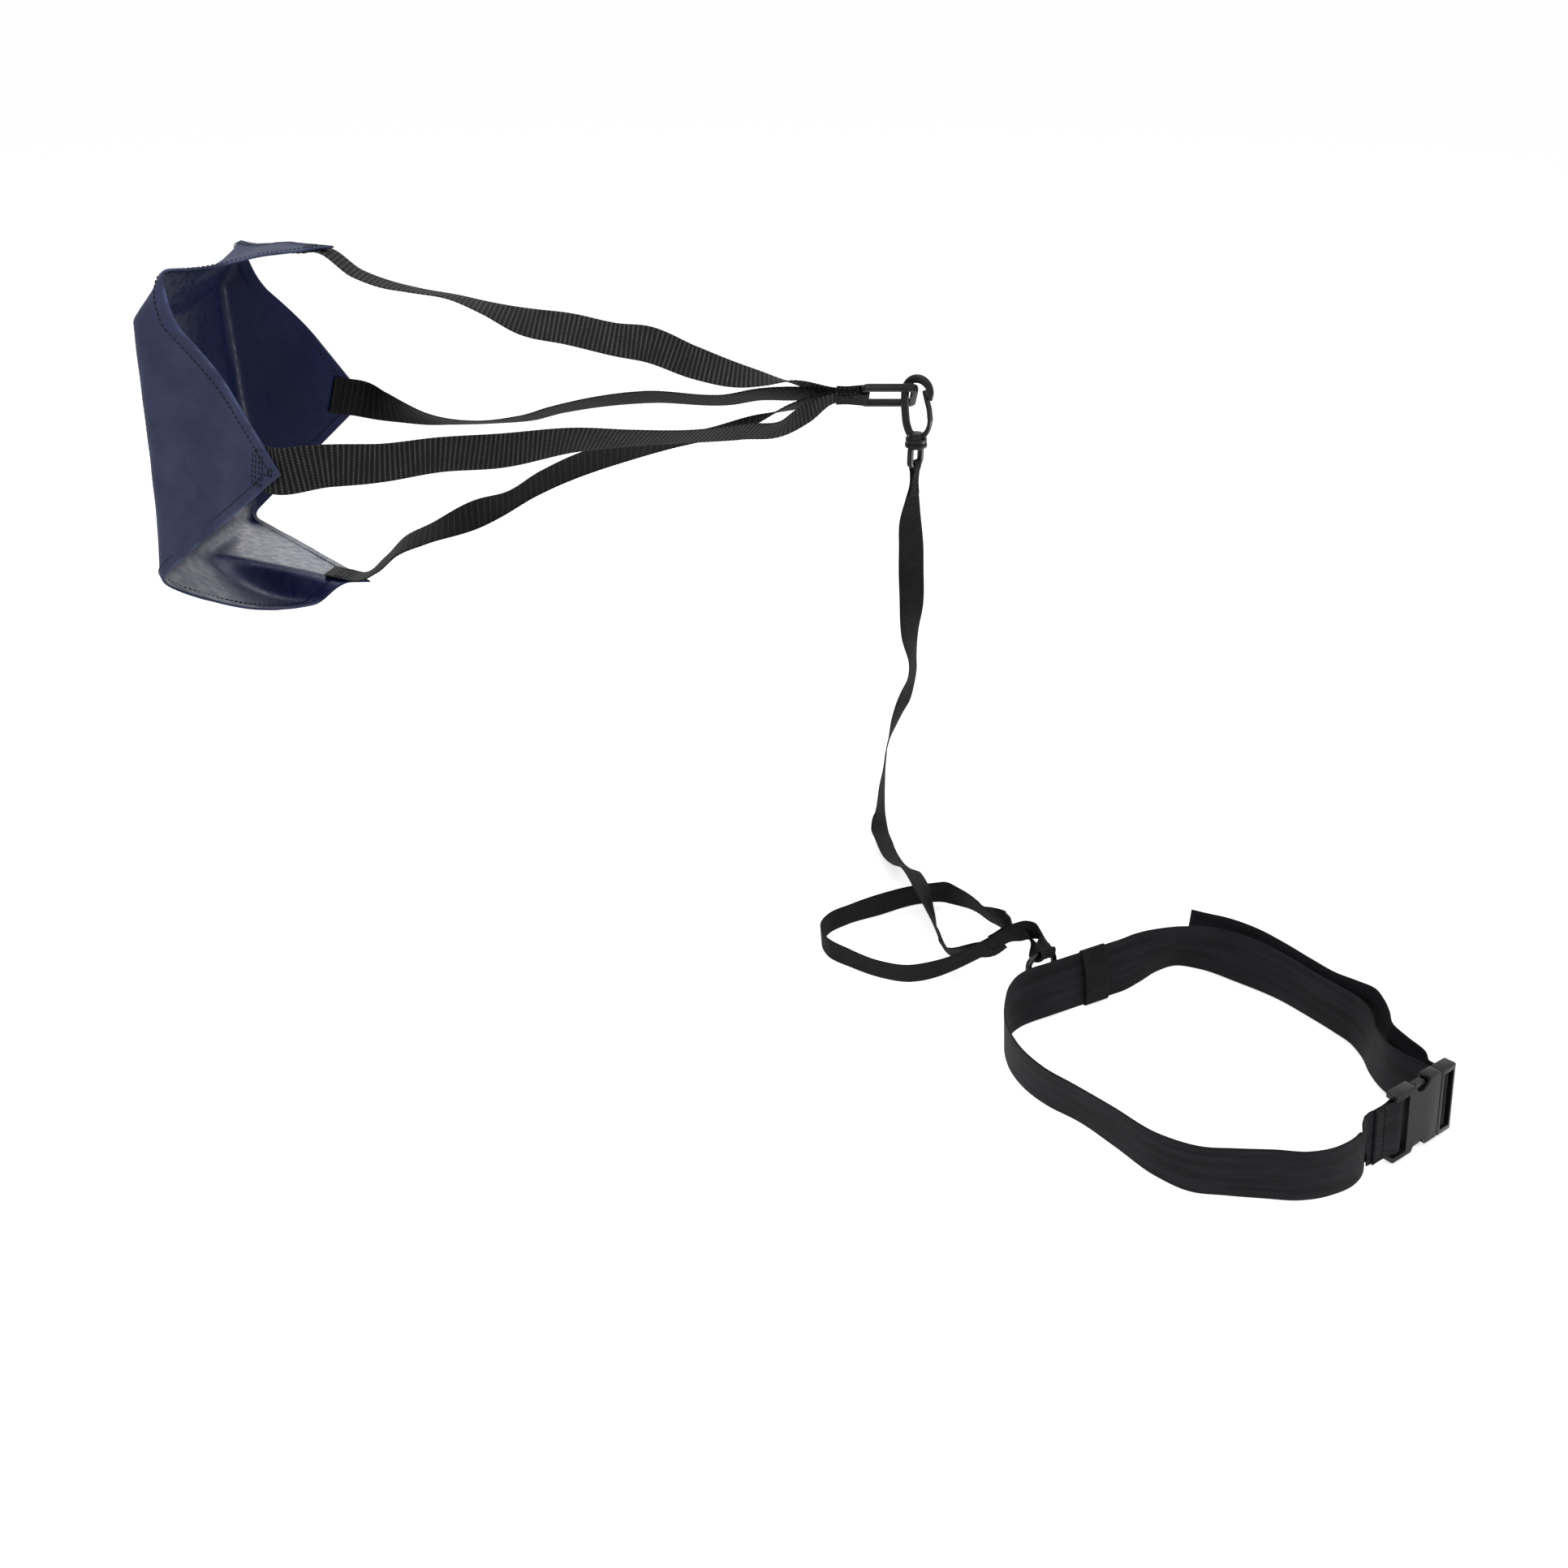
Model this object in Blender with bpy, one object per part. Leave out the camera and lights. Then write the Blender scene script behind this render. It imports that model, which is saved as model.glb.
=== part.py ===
# A swim parachute: a square drag canopy on four webbing risers, a plastic link and swivel
# snap hook, a tether strap with a hand loop, and a waist belt with a side-release buckle.
# Metres, +Z up. The origin is the middle of the belt's opening, level with its lower edge.
# The belt lies open with its buckle at +X -Y. The hook hangs at -X +Y with the canopy beyond it.

import math

import bmesh
import bpy
import numpy as np
from mathutils import Matrix, Vector

mm = 0.001
UP = Vector((0, 0, 1))

# Cloth and webbing
CANOPY_SIDE = 400 * mm
CANOPY_THICKNESS = 0.8 * mm
HEM_WIDTH = 10 * mm
HEM_THICKNESS = 2.0 * mm
RISER_WIDTH = 38 * mm
RISER_THICKNESS = 1.4 * mm
RISER_SEWN_START = 39 * mm
RISER_SEWN_END = 12 * mm
TETHER_WIDTH = 25 * mm
TETHER_THICKNESS = 1.3 * mm
BELT_WIDTH = 50 * mm
BELT_THICKNESS = 1.5 * mm
THREAD = 0.7 * mm
STITCH_ROW_GAP = 11 * mm
GAP = 0.3 * mm
STATION_STEP = 9 * mm
WRAP_STEPS = 6

# The canopy hangs behind the ring, folded like an open envelope
CANOPY_CENTRE = Vector((-869, 385, 447)) * mm
FOLD_SOFTNESS = 0.08
FOLD_BULGE = 24 * mm
TOP_SAG = 13 * mm
BOTTOM_SAG = 27 * mm
CANOPY_CELLS = 21

# Link ring between the risers and the hook
RING_LENGTH = 52 * mm
RING_WIDTH = 39 * mm
RING_BAR = 7 * mm
RING_THICKNESS = 7 * mm
RING_CORNER = 7 * mm
RING_CENTRE = Vector((-250, 393, 454.5)) * mm
RING_TILT = math.radians(50)
GATHER_MOUTH = 34 * mm
GATHER_LENGTH = 25 * mm
GATHER_WIDTH = 23 * mm
GATHER_NECK = 19 * mm

# Swivel snap hook
SWIVEL_AXIS = Vector((-224, 385, 0)) * mm
HOOK_HEADING = math.radians(-35)
HOOK_BASE_Z = 414 * mm
HOOK_HEIGHT = 61.5 * mm
HOOK_BEND_RADIUS = 13.3 * mm
HOOK_BAR_WIDTH = 7.6 * mm
HOOK_BAR_DEPTH = 6.4 * mm
HOOK_SIDES = 10
GATE_THICKNESS = 3.2 * mm
GATE_DEPTH = 5.4 * mm
GATE_REACH = 4 * mm
COLLAR_RADIUS = 9.8 * mm
COLLAR_HEIGHT = 4.3 * mm
BASE_RADIUS = 7.6 * mm
BASE_HEIGHT = 8.2 * mm
STEM_RADIUS = 2.6 * mm
STEM_HEAD_RADIUS = 4.3 * mm
STEM_HEAD_HEIGHT = 2.4 * mm
HEAD_LEDGE = 2.5 * mm
EYE_WIDTH = 21 * mm
EYE_HEIGHT = 18.5 * mm
EYE_BAR = 5 * mm
EYE_HEADING = math.radians(50)

# D-ring and its tab on the outside of the belt
D_RING_WIDTH = 36 * mm
D_RING_HEIGHT = 27 * mm
D_RING_BAR = 5 * mm
D_RING_PLACE = Vector((-112, 70.8, 0)) * mm
D_RING_SKEW = math.radians(12)
D_BAR_LEVEL = 34 * mm
D_BAR_STANDOFF = 8 * mm
TAB_WIDTH = 23 * mm
TAB_END_LEVEL = 7 * mm

# Side-release buckle, along its own length from the belt's sewn end to its adjusting end
BUCKLE_CENTRE = Vector((144.5, -82.5, 31.8)) * mm
BUCKLE_HEADING = math.radians(33.3)
BUCKLE_LEAN = math.radians(9.5)
BUCKLE_WIDTH = 62 * mm
BUCKLE_THICKNESS = 11 * mm
BUCKLE_WALL = 2.1 * mm
BUCKLE_BAR = 4.4 * mm
BUCKLE_EDGE = 1.4 * mm
WEBBING_PLAY = 0.8 * mm
SOCKET_TAIL = -32 * mm
SOCKET_START = -15 * mm
SOCKET_END = 22 * mm
SOCKET_BAR = -24 * mm
PLUG_FRAME = 3 * mm
PLUG_BAR = 31 * mm
PLUG_END = 39.6 * mm
NOTCH_RADIUS = 9 * mm
NOTCH_PLACE = -1 * mm
PRONG_HINGE = 16.5 * mm
PRONG_OFFSET = 21 * mm
PRONG_WIDTH = 5.2 * mm
PRONG_TIP = -8.5 * mm
GUIDE_WIDTH = 7 * mm

# Keeper band on the belt, and the sewn join of the straps
KEEPER_PLACE = Vector((-68, 92.2, 0)) * mm
KEEPER_THICKNESS = 1.2 * mm
KEEPER_PLAY = 0.9 * mm
JOIN_PLACE = Vector((-155, 120.3, 44.6)) * mm
JOIN_HEADING = math.radians(17)
JOIN_PITCH = math.radians(22)
JOIN_LEAN = math.radians(-17)
JOIN_LENGTH = 16 * mm
JOIN_DROP = 9 * mm


def material(name, colour, roughness):
    made = bpy.data.materials.new(name)
    made.use_nodes = True
    shader = made.node_tree.nodes["Principled BSDF"]
    shader.inputs["Base Color"].default_value = (*colour, 1.0)
    shader.inputs["Roughness"].default_value = roughness
    shader.inputs["Metallic"].default_value = 0.0
    made.diffuse_color = (*colour, 1.0)
    return made


def add_object(name, mesh, look, smooth_angle=None):
    made = bpy.data.objects.new(name, mesh)
    bpy.context.scene.collection.objects.link(made)
    mesh.materials.clear()
    mesh.materials.append(look)
    if smooth_angle:
        mesh.shade_smooth()
        mesh.set_sharp_from_angle(angle=math.radians(smooth_angle))
    return made


def mesh_from(bm, name):
    bmesh.ops.recalc_face_normals(bm, faces=bm.faces)
    mesh = bpy.data.meshes.new(name)
    bm.to_mesh(mesh)
    bm.free()
    return mesh


def modify(target, name, kind, **settings):
    added = target.modifiers.new(name, kind)
    for key, value in settings.items():
        setattr(added, key, value)


def combine(target, tool, operation):
    tool.hide_render = True
    tool.display_type = "WIRE"
    modify(target, tool.name, "BOOLEAN", operation=operation, object=tool, solver="EXACT")


def axes(origin, x, y, z):
    return Matrix((
        (x.x, y.x, z.x, origin.x),
        (x.y, y.y, z.y, origin.y),
        (x.z, y.z, z.z, origin.z),
        (0, 0, 0, 1),
    ))


def heading(angle):
    return Vector((math.cos(angle), math.sin(angle), 0))


def rounded_rectangle(low, high, corner, steps=4):
    points = []
    centres = [
        (high[0] - corner, high[1] - corner),
        (low[0] + corner, high[1] - corner),
        (low[0] + corner, low[1] + corner),
        (high[0] - corner, low[1] + corner),
    ]
    for quarter, (x, y) in enumerate(centres):
        for step in range(steps + 1):
            angle = math.pi / 2 * (quarter + step / steps)
            points.append((x + corner * math.cos(angle), y + corner * math.sin(angle)))
    return points


def plate_mesh(name, outline, low, high):
    """An outline in X and Y, extruded from low to high along Z."""
    bm = bmesh.new()
    face = bm.faces.new([bm.verts.new((x, y, low)) for x, y in outline])
    grown = bmesh.ops.extrude_face_region(bm, geom=[face])["geom"]
    tops = [item for item in grown if isinstance(item, bmesh.types.BMVert)]
    bmesh.ops.translate(bm, verts=tops, vec=(0, 0, high - low))
    return mesh_from(bm, name)


def box_mesh(name, low, high, edge=0.0):
    bm = bmesh.new()
    bmesh.ops.create_cube(bm, size=1)
    for vertex in bm.verts:
        share = vertex.co + Vector((0.5, 0.5, 0.5))
        vertex.co = Vector([a + (b - a) * s for a, b, s in zip(low, high, share)])
    if edge:
        bmesh.ops.bevel(
            bm, geom=bm.edges[:], offset=edge, segments=2, profile=0.5, affect="EDGES", material=-1
        )
    return mesh_from(bm, name)


def bar_mesh(name, radius, start, end, sides=16):
    """A round bar between two points."""
    along = Vector(end) - Vector(start)
    bm = bmesh.new()
    turn = along.to_track_quat("Z", "Y").to_matrix().to_4x4()
    place = Matrix.Translation((Vector(start) + Vector(end)) / 2) @ turn
    bmesh.ops.create_cone(
        bm, cap_ends=True, segments=sides, radius1=radius, radius2=radius, depth=along.length, matrix=place
    )
    return mesh_from(bm, name)


def turned_mesh(name, profile, steps=24):
    """A profile of radius and height, turned about Z."""
    bm = bmesh.new()
    line = [bm.verts.new((radius, 0, height)) for radius, height in profile]
    edges = [bm.edges.new(pair) for pair in zip(line, line[1:])]
    bmesh.ops.spin(
        bm, geom=line + edges, axis=UP, cent=(0, 0, 0), angle=2 * math.pi, steps=steps,
        use_merge=True, use_normal_flip=False, use_duplicate=False,
    )
    bmesh.ops.remove_doubles(bm, verts=bm.verts, dist=0.001 * mm)
    return mesh_from(bm, name)


def loop_mesh(name, points, bar, flatten=1.0):
    """A closed bar that follows points in X and Y, thinner along Z by flatten."""
    curve = bpy.data.curves.new(name, "CURVE")
    curve.dimensions = "3D"
    curve.bevel_depth = bar / 2
    curve.bevel_resolution = 2
    curve.resolution_u = 1
    curve.render_resolution_u = 0
    spline = curve.splines.new("POLY")
    spline.points.add(len(points) - 1)
    for point, (x, y) in zip(spline.points, points):
        point.co = (x, y, 0, 1)
    spline.use_cyclic_u = True
    guide = bpy.data.objects.new(name, curve)
    bpy.context.scene.collection.objects.link(guide)
    bpy.context.view_layer.update()
    mesh = bpy.data.meshes.new_from_object(guide.evaluated_get(bpy.context.evaluated_depsgraph_get()))
    bpy.data.objects.remove(guide)
    mesh.transform(Matrix.Diagonal((1, 1, flatten, 1)))
    return mesh


def sweep_mesh(name, stations, sides):
    """A rounded bar whose section grows and shrinks along a path in X and Z.

    A station is x, z, the width in the plane of the path and the depth across it.
    """
    frames = []
    for number, (x, z, width, depth) in enumerate(stations):
        before, after = stations[max(number - 1, 0)], stations[min(number + 1, len(stations) - 1)]
        along = Vector((after[0] - before[0], 0, after[1] - before[1])).normalized()
        across = Vector((0, 1, 0)).cross(along)
        frames.append(axes(Vector((x, 0, z)), across * width / 2, Vector((0, depth / 2, 0)), along))
    bm = bmesh.new()
    bmesh.ops.create_circle(bm, cap_ends=True, segments=sides, radius=1, matrix=frames[0])
    cap = bm.faces[:][0]
    for before, after in zip(frames, frames[1:]):
        grown = bmesh.ops.extrude_face_region(bm, geom=[cap, *cap.edges])["geom"]
        moved = [item for item in grown if isinstance(item, bmesh.types.BMVert)]
        cap = [item for item in grown if isinstance(item, bmesh.types.BMFace)][0]
        bmesh.ops.transform(bm, matrix=after @ before.inverted(), verts=moved)
    return mesh_from(bm, name)


def smooth_line(stations, step):
    """A smooth curve through stations, whose first three numbers are a place."""
    values = [np.array(station) for station in stations]
    spans = [max(math.dist(a[0:3], b[0:3]), 0.01 * mm) for a, b in zip(values, values[1:])]
    rates = [(b - a) / span for a, b, span in zip(values, values[1:], spans)]
    slopes = [rates[0]]
    for before, after, span_before, span_after in zip(rates, rates[1:], spans, spans[1:]):
        slopes.append((before * span_after + after * span_before) / (span_before + span_after))
    slopes.append(rates[-1])
    line = [values[0]]
    for number, span in enumerate(spans):
        count = max(1, round(span / step))
        for part in range(1, count + 1):
            t = part / count
            line.append(
                values[number] * (1 + 2 * t) * (1 - t) ** 2
                + values[number + 1] * t * t * (3 - 2 * t)
                + slopes[number] * span * t * (1 - t) ** 2
                - slopes[number + 1] * span * t * t * (1 - t)
            )
    return line


def strap_frames(line):
    """Frames along a strap: X across its width, Y out of its face, Z along it."""
    frames = []
    for number, here in enumerate(line):
        before, after = line[max(number - 1, 0)], line[min(number + 1, len(line) - 1)]
        along = (Vector(after[0:3]) - Vector(before[0:3])).normalized()
        across = Vector(here[3:6])
        across = (across - along * across.dot(along)).normalized()
        frames.append(axes(Vector(here[0:3]), across * here[6], along.cross(across), along))
    return frames


def strap(name, stations, thickness, look, step=STATION_STEP, closed=False):
    """A flat strap. A station is its middle, the way its width runs, and the width."""
    frames = strap_frames(smooth_line(stations, step))
    bm = bmesh.new()
    ends = [bm.verts.new(frames[0] @ Vector((x, 0, 0))) for x in (-0.5, 0.5)]
    edge = bm.edges.new(ends)
    for before, after in zip(frames, frames[1:]):
        grown = bmesh.ops.extrude_edge_only(bm, edges=[edge])["geom"]
        moved = [item for item in grown if isinstance(item, bmesh.types.BMVert)]
        edge = [
            item for item in grown if isinstance(item, bmesh.types.BMEdge) and all(v in moved for v in item.verts)
        ][0]
        for vertex in moved:
            vertex.co = after @ (before.inverted() @ vertex.co)
    if closed:
        bmesh.ops.remove_doubles(bm, verts=bm.verts, dist=0.01 * mm)
    made = add_object(name, mesh_from(bm, name), look, 40)
    modify(made, "webbing", "SOLIDIFY", thickness=thickness, offset=0)
    return made


def station(place, across, width):
    return (*place, *across, width)


def stitch(name, place, across, along, width, length, look):
    """A box of thread sewn on a strap's face."""
    out = across.cross(along).normalized()
    bm = bmesh.new()
    bmesh.ops.create_grid(bm, x_segments=1, y_segments=1, size=0.5)
    bmesh.ops.scale(bm, vec=(width, length, 1), verts=bm.verts[:])
    bmesh.ops.inset_region(bm, faces=bm.faces[:], thickness=THREAD * 1.6, use_boundary=True)
    inner = min(bm.faces, key=lambda face: face.calc_center_median().length)
    bmesh.ops.delete(bm, geom=[inner], context="FACES")
    made = add_object(name, mesh_from(bm, name), look)
    made.matrix_world = axes(place, across.normalized(), along.normalized(), out)
    modify(made, "thread", "SOLIDIFY", thickness=THREAD, offset=0)
    return made


for old in bpy.data.objects[:]:
    bpy.data.objects.remove(old)

NAVY = material("navy_coated_cloth", (0.027, 0.034, 0.102), 0.55)
WEBBING = material("black_webbing", (0.012, 0.012, 0.013), 0.8)
BELT = material("black_belt_webbing", (0.017, 0.017, 0.02), 0.75)
THREADS = material("black_thread", (0.02, 0.02, 0.022), 0.85)
HARDWARE = material("black_hardware_plastic", (0.02, 0.021, 0.023), 0.38)
GLOSSY = material("glossy_black_plastic", (0.012, 0.012, 0.014), 0.2)
GREY = material("dark_grey_plastic", (0.058, 0.054, 0.064), 0.42)

# Canopy. Its places are shares of its side, from its centre: where the four folds meet its
# edges, and its four corners. They follow the cloth: p runs front to back, q bottom to top.
FOLD_ENDS = {
    "front_top": (0.100, -0.348, 0.369),
    "back_top": (0.016, 0.348, 0.299),
    "back_bottom": (-0.075, 0.348, -0.388),
    "front_bottom": (-0.042, -0.348, -0.281),
}
TIPS = {
    "front": (0.326, -0.512, 0.014),
    "top": (0.346, 0.000, 0.344),
    "back": (0.209, 0.550, -0.141),
    "bottom": (0.319, -0.020, -0.418),
}
FLAPS = {
    "front": ("front_bottom", "front_top"),
    "top": ("front_top", "back_top"),
    "back": ("back_top", "back_bottom"),
    "bottom": ("back_bottom", "front_bottom"),
}


def on_canopy(share):
    return CANOPY_CENTRE + Vector(share) * CANOPY_SIDE


fold_ends = {name: on_canopy(share) for name, share in FOLD_ENDS.items()}
tips = {name: on_canopy(share) for name, share in TIPS.items()}
fold_middles = {name: (fold_ends[a] + fold_ends[b]) / 2 for name, (a, b) in FLAPS.items()}
canopy_inside = sum(tips.values(), CANOPY_CENTRE * 2) / 6


def ramp(x):
    """Zero below 0 and x above it, with a soft bend between."""
    if x <= -FOLD_SOFTNESS:
        return 0.0
    if x >= FOLD_SOFTNESS:
        return x
    return (x + FOLD_SOFTNESS) ** 2 / (4 * FOLD_SOFTNESS)


def ease(x):
    x = min(max(x, 0.0), 1.0)
    return x * x * (3 - 2 * x)


def canopy_point(u, v):
    p, q = 2 * (u + v - 1), 2 * (v - u)
    past = {"front": ramp(-1 - p), "back": ramp(p - 1), "top": ramp(q - 1), "bottom": ramp(-1 - q)}
    p_base, q_base = p + past["front"] - past["back"], q + past["bottom"] - past["top"]
    place = (
        fold_ends["front_top"] * (1 - p_base) * (1 + q_base)
        + fold_ends["back_top"] * (1 + p_base) * (1 + q_base)
        + fold_ends["back_bottom"] * (1 + p_base) * (1 - q_base)
        + fold_ends["front_bottom"] * (1 - p_base) * (1 - q_base)
    ) / 4
    for name, amount in past.items():
        place = place + (tips[name] - fold_middles[name]) * amount
    on_base = 1 - ease(sum(past.values()) / 0.6)
    high = min((1 - q_base) / 0.3, (1 + q_base) / 1.7)
    bulge = FOLD_BULGE * ease(high * 0.75) * on_base
    top_sag = TOP_SAG * (1 - p_base ** 2) * ease(q_base) * ease(1 - past["top"] / 0.6)
    along = past["bottom"]
    bottom_sag = BOTTOM_SAG * 4 * along * (1 - along) * ease((-p_base - 0.08) / 0.22)
    return place - Vector((bulge, 0, top_sag + bottom_sag))


def split_along_folds(bm):
    """Every cell is split along the nearest fold, so that the folds stay clean lines."""
    bm.verts.ensure_lookup_table()
    row = CANOPY_CELLS + 1
    for face in bm.faces[:]:
        corners = sorted(face.verts, key=lambda vertex: vertex.index)
        u, v = ((corners[0].index % row + 0.5) / CANOPY_CELLS, (corners[0].index // row + 0.5) / CANOPY_CELLS)
        p, q = abs(2 * (u + v - 1)), abs(2 * (v - u))
        pair = (corners[1], corners[2]) if abs(p - 1) < abs(q - 1) else (corners[0], corners[3])
        bmesh.utils.face_split(face, *pair)


def make_canopy():
    cells = CANOPY_CELLS
    hem = HEM_WIDTH / CANOPY_SIDE
    lines = [0.0] + [hem + (1 - 2 * hem) * k / (cells - 2) for k in range(cells - 1)] + [1.0]
    bm = bmesh.new()
    bmesh.ops.create_grid(bm, x_segments=cells, y_segments=cells, size=0.5)
    rims = []
    for vertex in bm.verts:
        column, row = (round((value + 0.5) * cells) for value in vertex.co[0:2])
        vertex.co = canopy_point(lines[column], lines[row])
        if min(column, row, cells - column, cells - row) <= 1:
            rims.append(vertex.index)
    split_along_folds(bm)
    mesh = mesh_from(bm, "canopy")
    canopy = add_object("canopy", mesh, NAVY, 60)
    thick = canopy.vertex_groups.new(name="hem")
    thick.add(list(range(len(mesh.vertices))), CANOPY_THICKNESS / HEM_THICKNESS, "REPLACE")
    thick.add(rims, 1.0, "REPLACE")
    modify(canopy, "cloth", "SOLIDIFY", thickness=HEM_THICKNESS, offset=0, vertex_group="hem")


def corner_frame(name):
    """At a corner: X across the flap, Y out along it to the corner, Z to the inside."""
    tip = tips[name]
    out = (tip - fold_middles[name]).normalized()
    first, last = (fold_ends[end] for end in FLAPS[name])
    across = last - first
    across = (across - out * across.dot(out)).normalized()
    inward = across.cross(out)
    if inward.dot(canopy_inside - tip) < 0:
        across, inward = -across, -inward
    return axes(tip, across, out, inward)


# Ring, in its own frame: X along it, Y across it, Z through it
ring_across = Vector((0, -math.sin(RING_TILT), math.cos(RING_TILT)))
ring_frame = axes(RING_CENTRE, Vector((1, 0, 0)), ring_across, Vector((1, 0, 0)).cross(ring_across))
ring_bar_x = -RING_LENGTH / 2 + RING_BAR / 2
gather_widths = [
    (GATHER_LENGTH, GATHER_NECK + 1.5 * mm), (GATHER_LENGTH * 0.65, GATHER_NECK), (RING_BAR / 2 + 1.5 * mm, GATHER_WIDTH)
]


def make_ring():
    length, width = (RING_LENGTH - RING_BAR) / 2, (RING_WIDTH - RING_BAR) / 2
    points = rounded_rectangle((-length, -width), (length, width), RING_CORNER - RING_BAR / 2, steps=2)
    ring = add_object("ring", loop_mesh("ring", points, RING_BAR, RING_THICKNESS / RING_BAR), HARDWARE, 30)
    ring.matrix_world = ring_frame


# Risers. Each free run is a list of: the share of the way from the corner to where the risers
# meet, how far the strap lies above that straight line in mm, and its roll in degrees from
# standing on edge.
RISER_RUNS = {
    "front": [
        (0.07, 2, 12), (0.16, -2, 22), (0.26, -2, 28), (0.37, -6, 28), (0.50, -6, 43), (0.60, -11, 53),
        (0.72, -17, 58), (0.83, -20, 54), (0.90, -22, 52), (0.962, -11, 30),
    ],
    "top": [
        (0.04, -17, -86), (0.09, -19, -90), (0.15, -17, -94), (0.23, -13, -95), (0.29, -14, -84),
        (0.37, -16, -63), (0.46, -11, -59), (0.56, -8, -56), (0.62, -4, -50), (0.72, -8, -56),
        (0.81, -8, -71), (0.87, -4, -89), (0.93, 1, -110),
    ],
    "back": [
        (0.06, -10, 24), (0.17, -22, 60), (0.29, -25, 70), (0.38, -21, 66), (0.45, -13, 64),
        (0.65, -1, 59), (0.81, -4, 61), (0.87, 0, 60), (0.93, 1, 54),
    ],
    "bottom": [
        (0.03, 12, -97), (0.08, 22, -95), (0.14, 23, -88), (0.25, 23, -68), (0.31, 22, -82),
        (0.39, 28, -79), (0.52, 28, -78), (0.61, 19, -94), (0.68, 15, -94), (0.76, 9, -93),
        (0.85, 5, -96), (0.93, 3, -115),
    ],
}
STACK = {"front": 1.5, "bottom": 0.5, "back": -0.5, "top": -1.5}


def make_riser(name):
    corner = corner_frame(name)
    off_cloth = (HEM_THICKNESS + RISER_THICKNESS) / 2 + GAP
    across = corner.col[0].xyz
    if across.dot(roll_side(RISER_RUNS[name][0][2])) < 0:
        across = -across
    stations = []
    for share in (0, 0.35, 0.7, 1):
        inward = RISER_SEWN_START + (RISER_SEWN_END - RISER_SEWN_START) * share
        stations.append(station(corner @ Vector((0, -inward, off_cloth)), across, RISER_WIDTH))
    level = STACK[name] * (RISER_THICKNESS + GAP)
    meeting = ring_frame @ Vector((ring_bar_x - GATHER_MOUTH, 0, level))
    ring_side = ring_across * (-1 if RISER_RUNS[name][-1][2] < -60 else 1)
    for share, lift, roll in RISER_RUNS[name]:
        place = tips[name].lerp(meeting, share) + UP * lift * mm
        width = RISER_WIDTH + (GATHER_NECK - RISER_WIDTH) * ease((share - 0.88) / 0.14)
        stations.append(station(place, roll_side(roll), width))
    for before, width in gather_widths:
        place = ring_frame @ Vector((ring_bar_x - before, 0, level))
        stations.append(station(place, ring_side, width))
    strap("riser_" + name, stations, RISER_THICKNESS, WEBBING)
    middle = (RISER_SEWN_START + RISER_SEWN_END) / 2
    sewn = corner @ Vector((0, -middle, off_cloth + (RISER_THICKNESS + THREAD) / 2 + GAP))
    stitch(
        "corner_stitch_" + name, sewn, across, corner.col[1].xyz, RISER_WIDTH * 0.82, STITCH_ROW_GAP, THREADS
    )


def roll_side(degrees):
    roll = math.radians(degrees)
    return Vector((0, -math.sin(roll), math.cos(roll)))


def make_ring_loop():
    """A short webbing loop round the ring's bar, with the four risers sewn between its legs."""
    wrap = RING_BAR / 2 + GAP + TETHER_THICKNESS / 2
    leg = 2 * (RISER_THICKNESS + GAP) + (TETHER_THICKNESS + GAP) / 2
    mouth = ring_bar_x - GATHER_LENGTH
    places = [(ring_bar_x - before, leg, width) for before, width in gather_widths]
    for step in range(WRAP_STEPS + 1):
        angle = math.pi / 2 - math.pi * step / WRAP_STEPS
        places.append((ring_bar_x + wrap * math.cos(angle), wrap * math.sin(angle), GATHER_WIDTH))
    places += [(x, -z, width) for x, z, width in reversed(places[:3])]
    stations = [station(ring_frame @ Vector((x, 0, z)), ring_across, width) for x, z, width in places]
    strap("ring_loop", stations, TETHER_THICKNESS, WEBBING)
    sewn = ring_frame @ Vector((mouth + 8 * mm, 0, leg + (TETHER_THICKNESS + THREAD) / 2 + GAP))
    stitch("gather_stitch", sewn, ring_across, Vector((1, 0, 0)), GATHER_NECK * 0.8, STITCH_ROW_GAP, THREADS)


# Snap hook, in its own frame: X to its mouth, Z up, with the swivel's axis at X = 0
hook_frame = Matrix.Translation(SWIVEL_AXIS) @ Matrix.Rotation(HOOK_HEADING, 4, "Z")
hook_top = HOOK_BASE_Z + HOOK_HEIGHT
bend_centre_z = hook_top - HOOK_BAR_WIDTH / 2 - HOOK_BEND_RADIUS
bend_centre_x = -0.4 * mm
gate_hinge = Vector((13.6 * mm, 0, HOOK_BASE_Z + 0.3675 * HOOK_HEIGHT))
gate_length = bend_centre_z + GATE_REACH - gate_hinge.z


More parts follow.
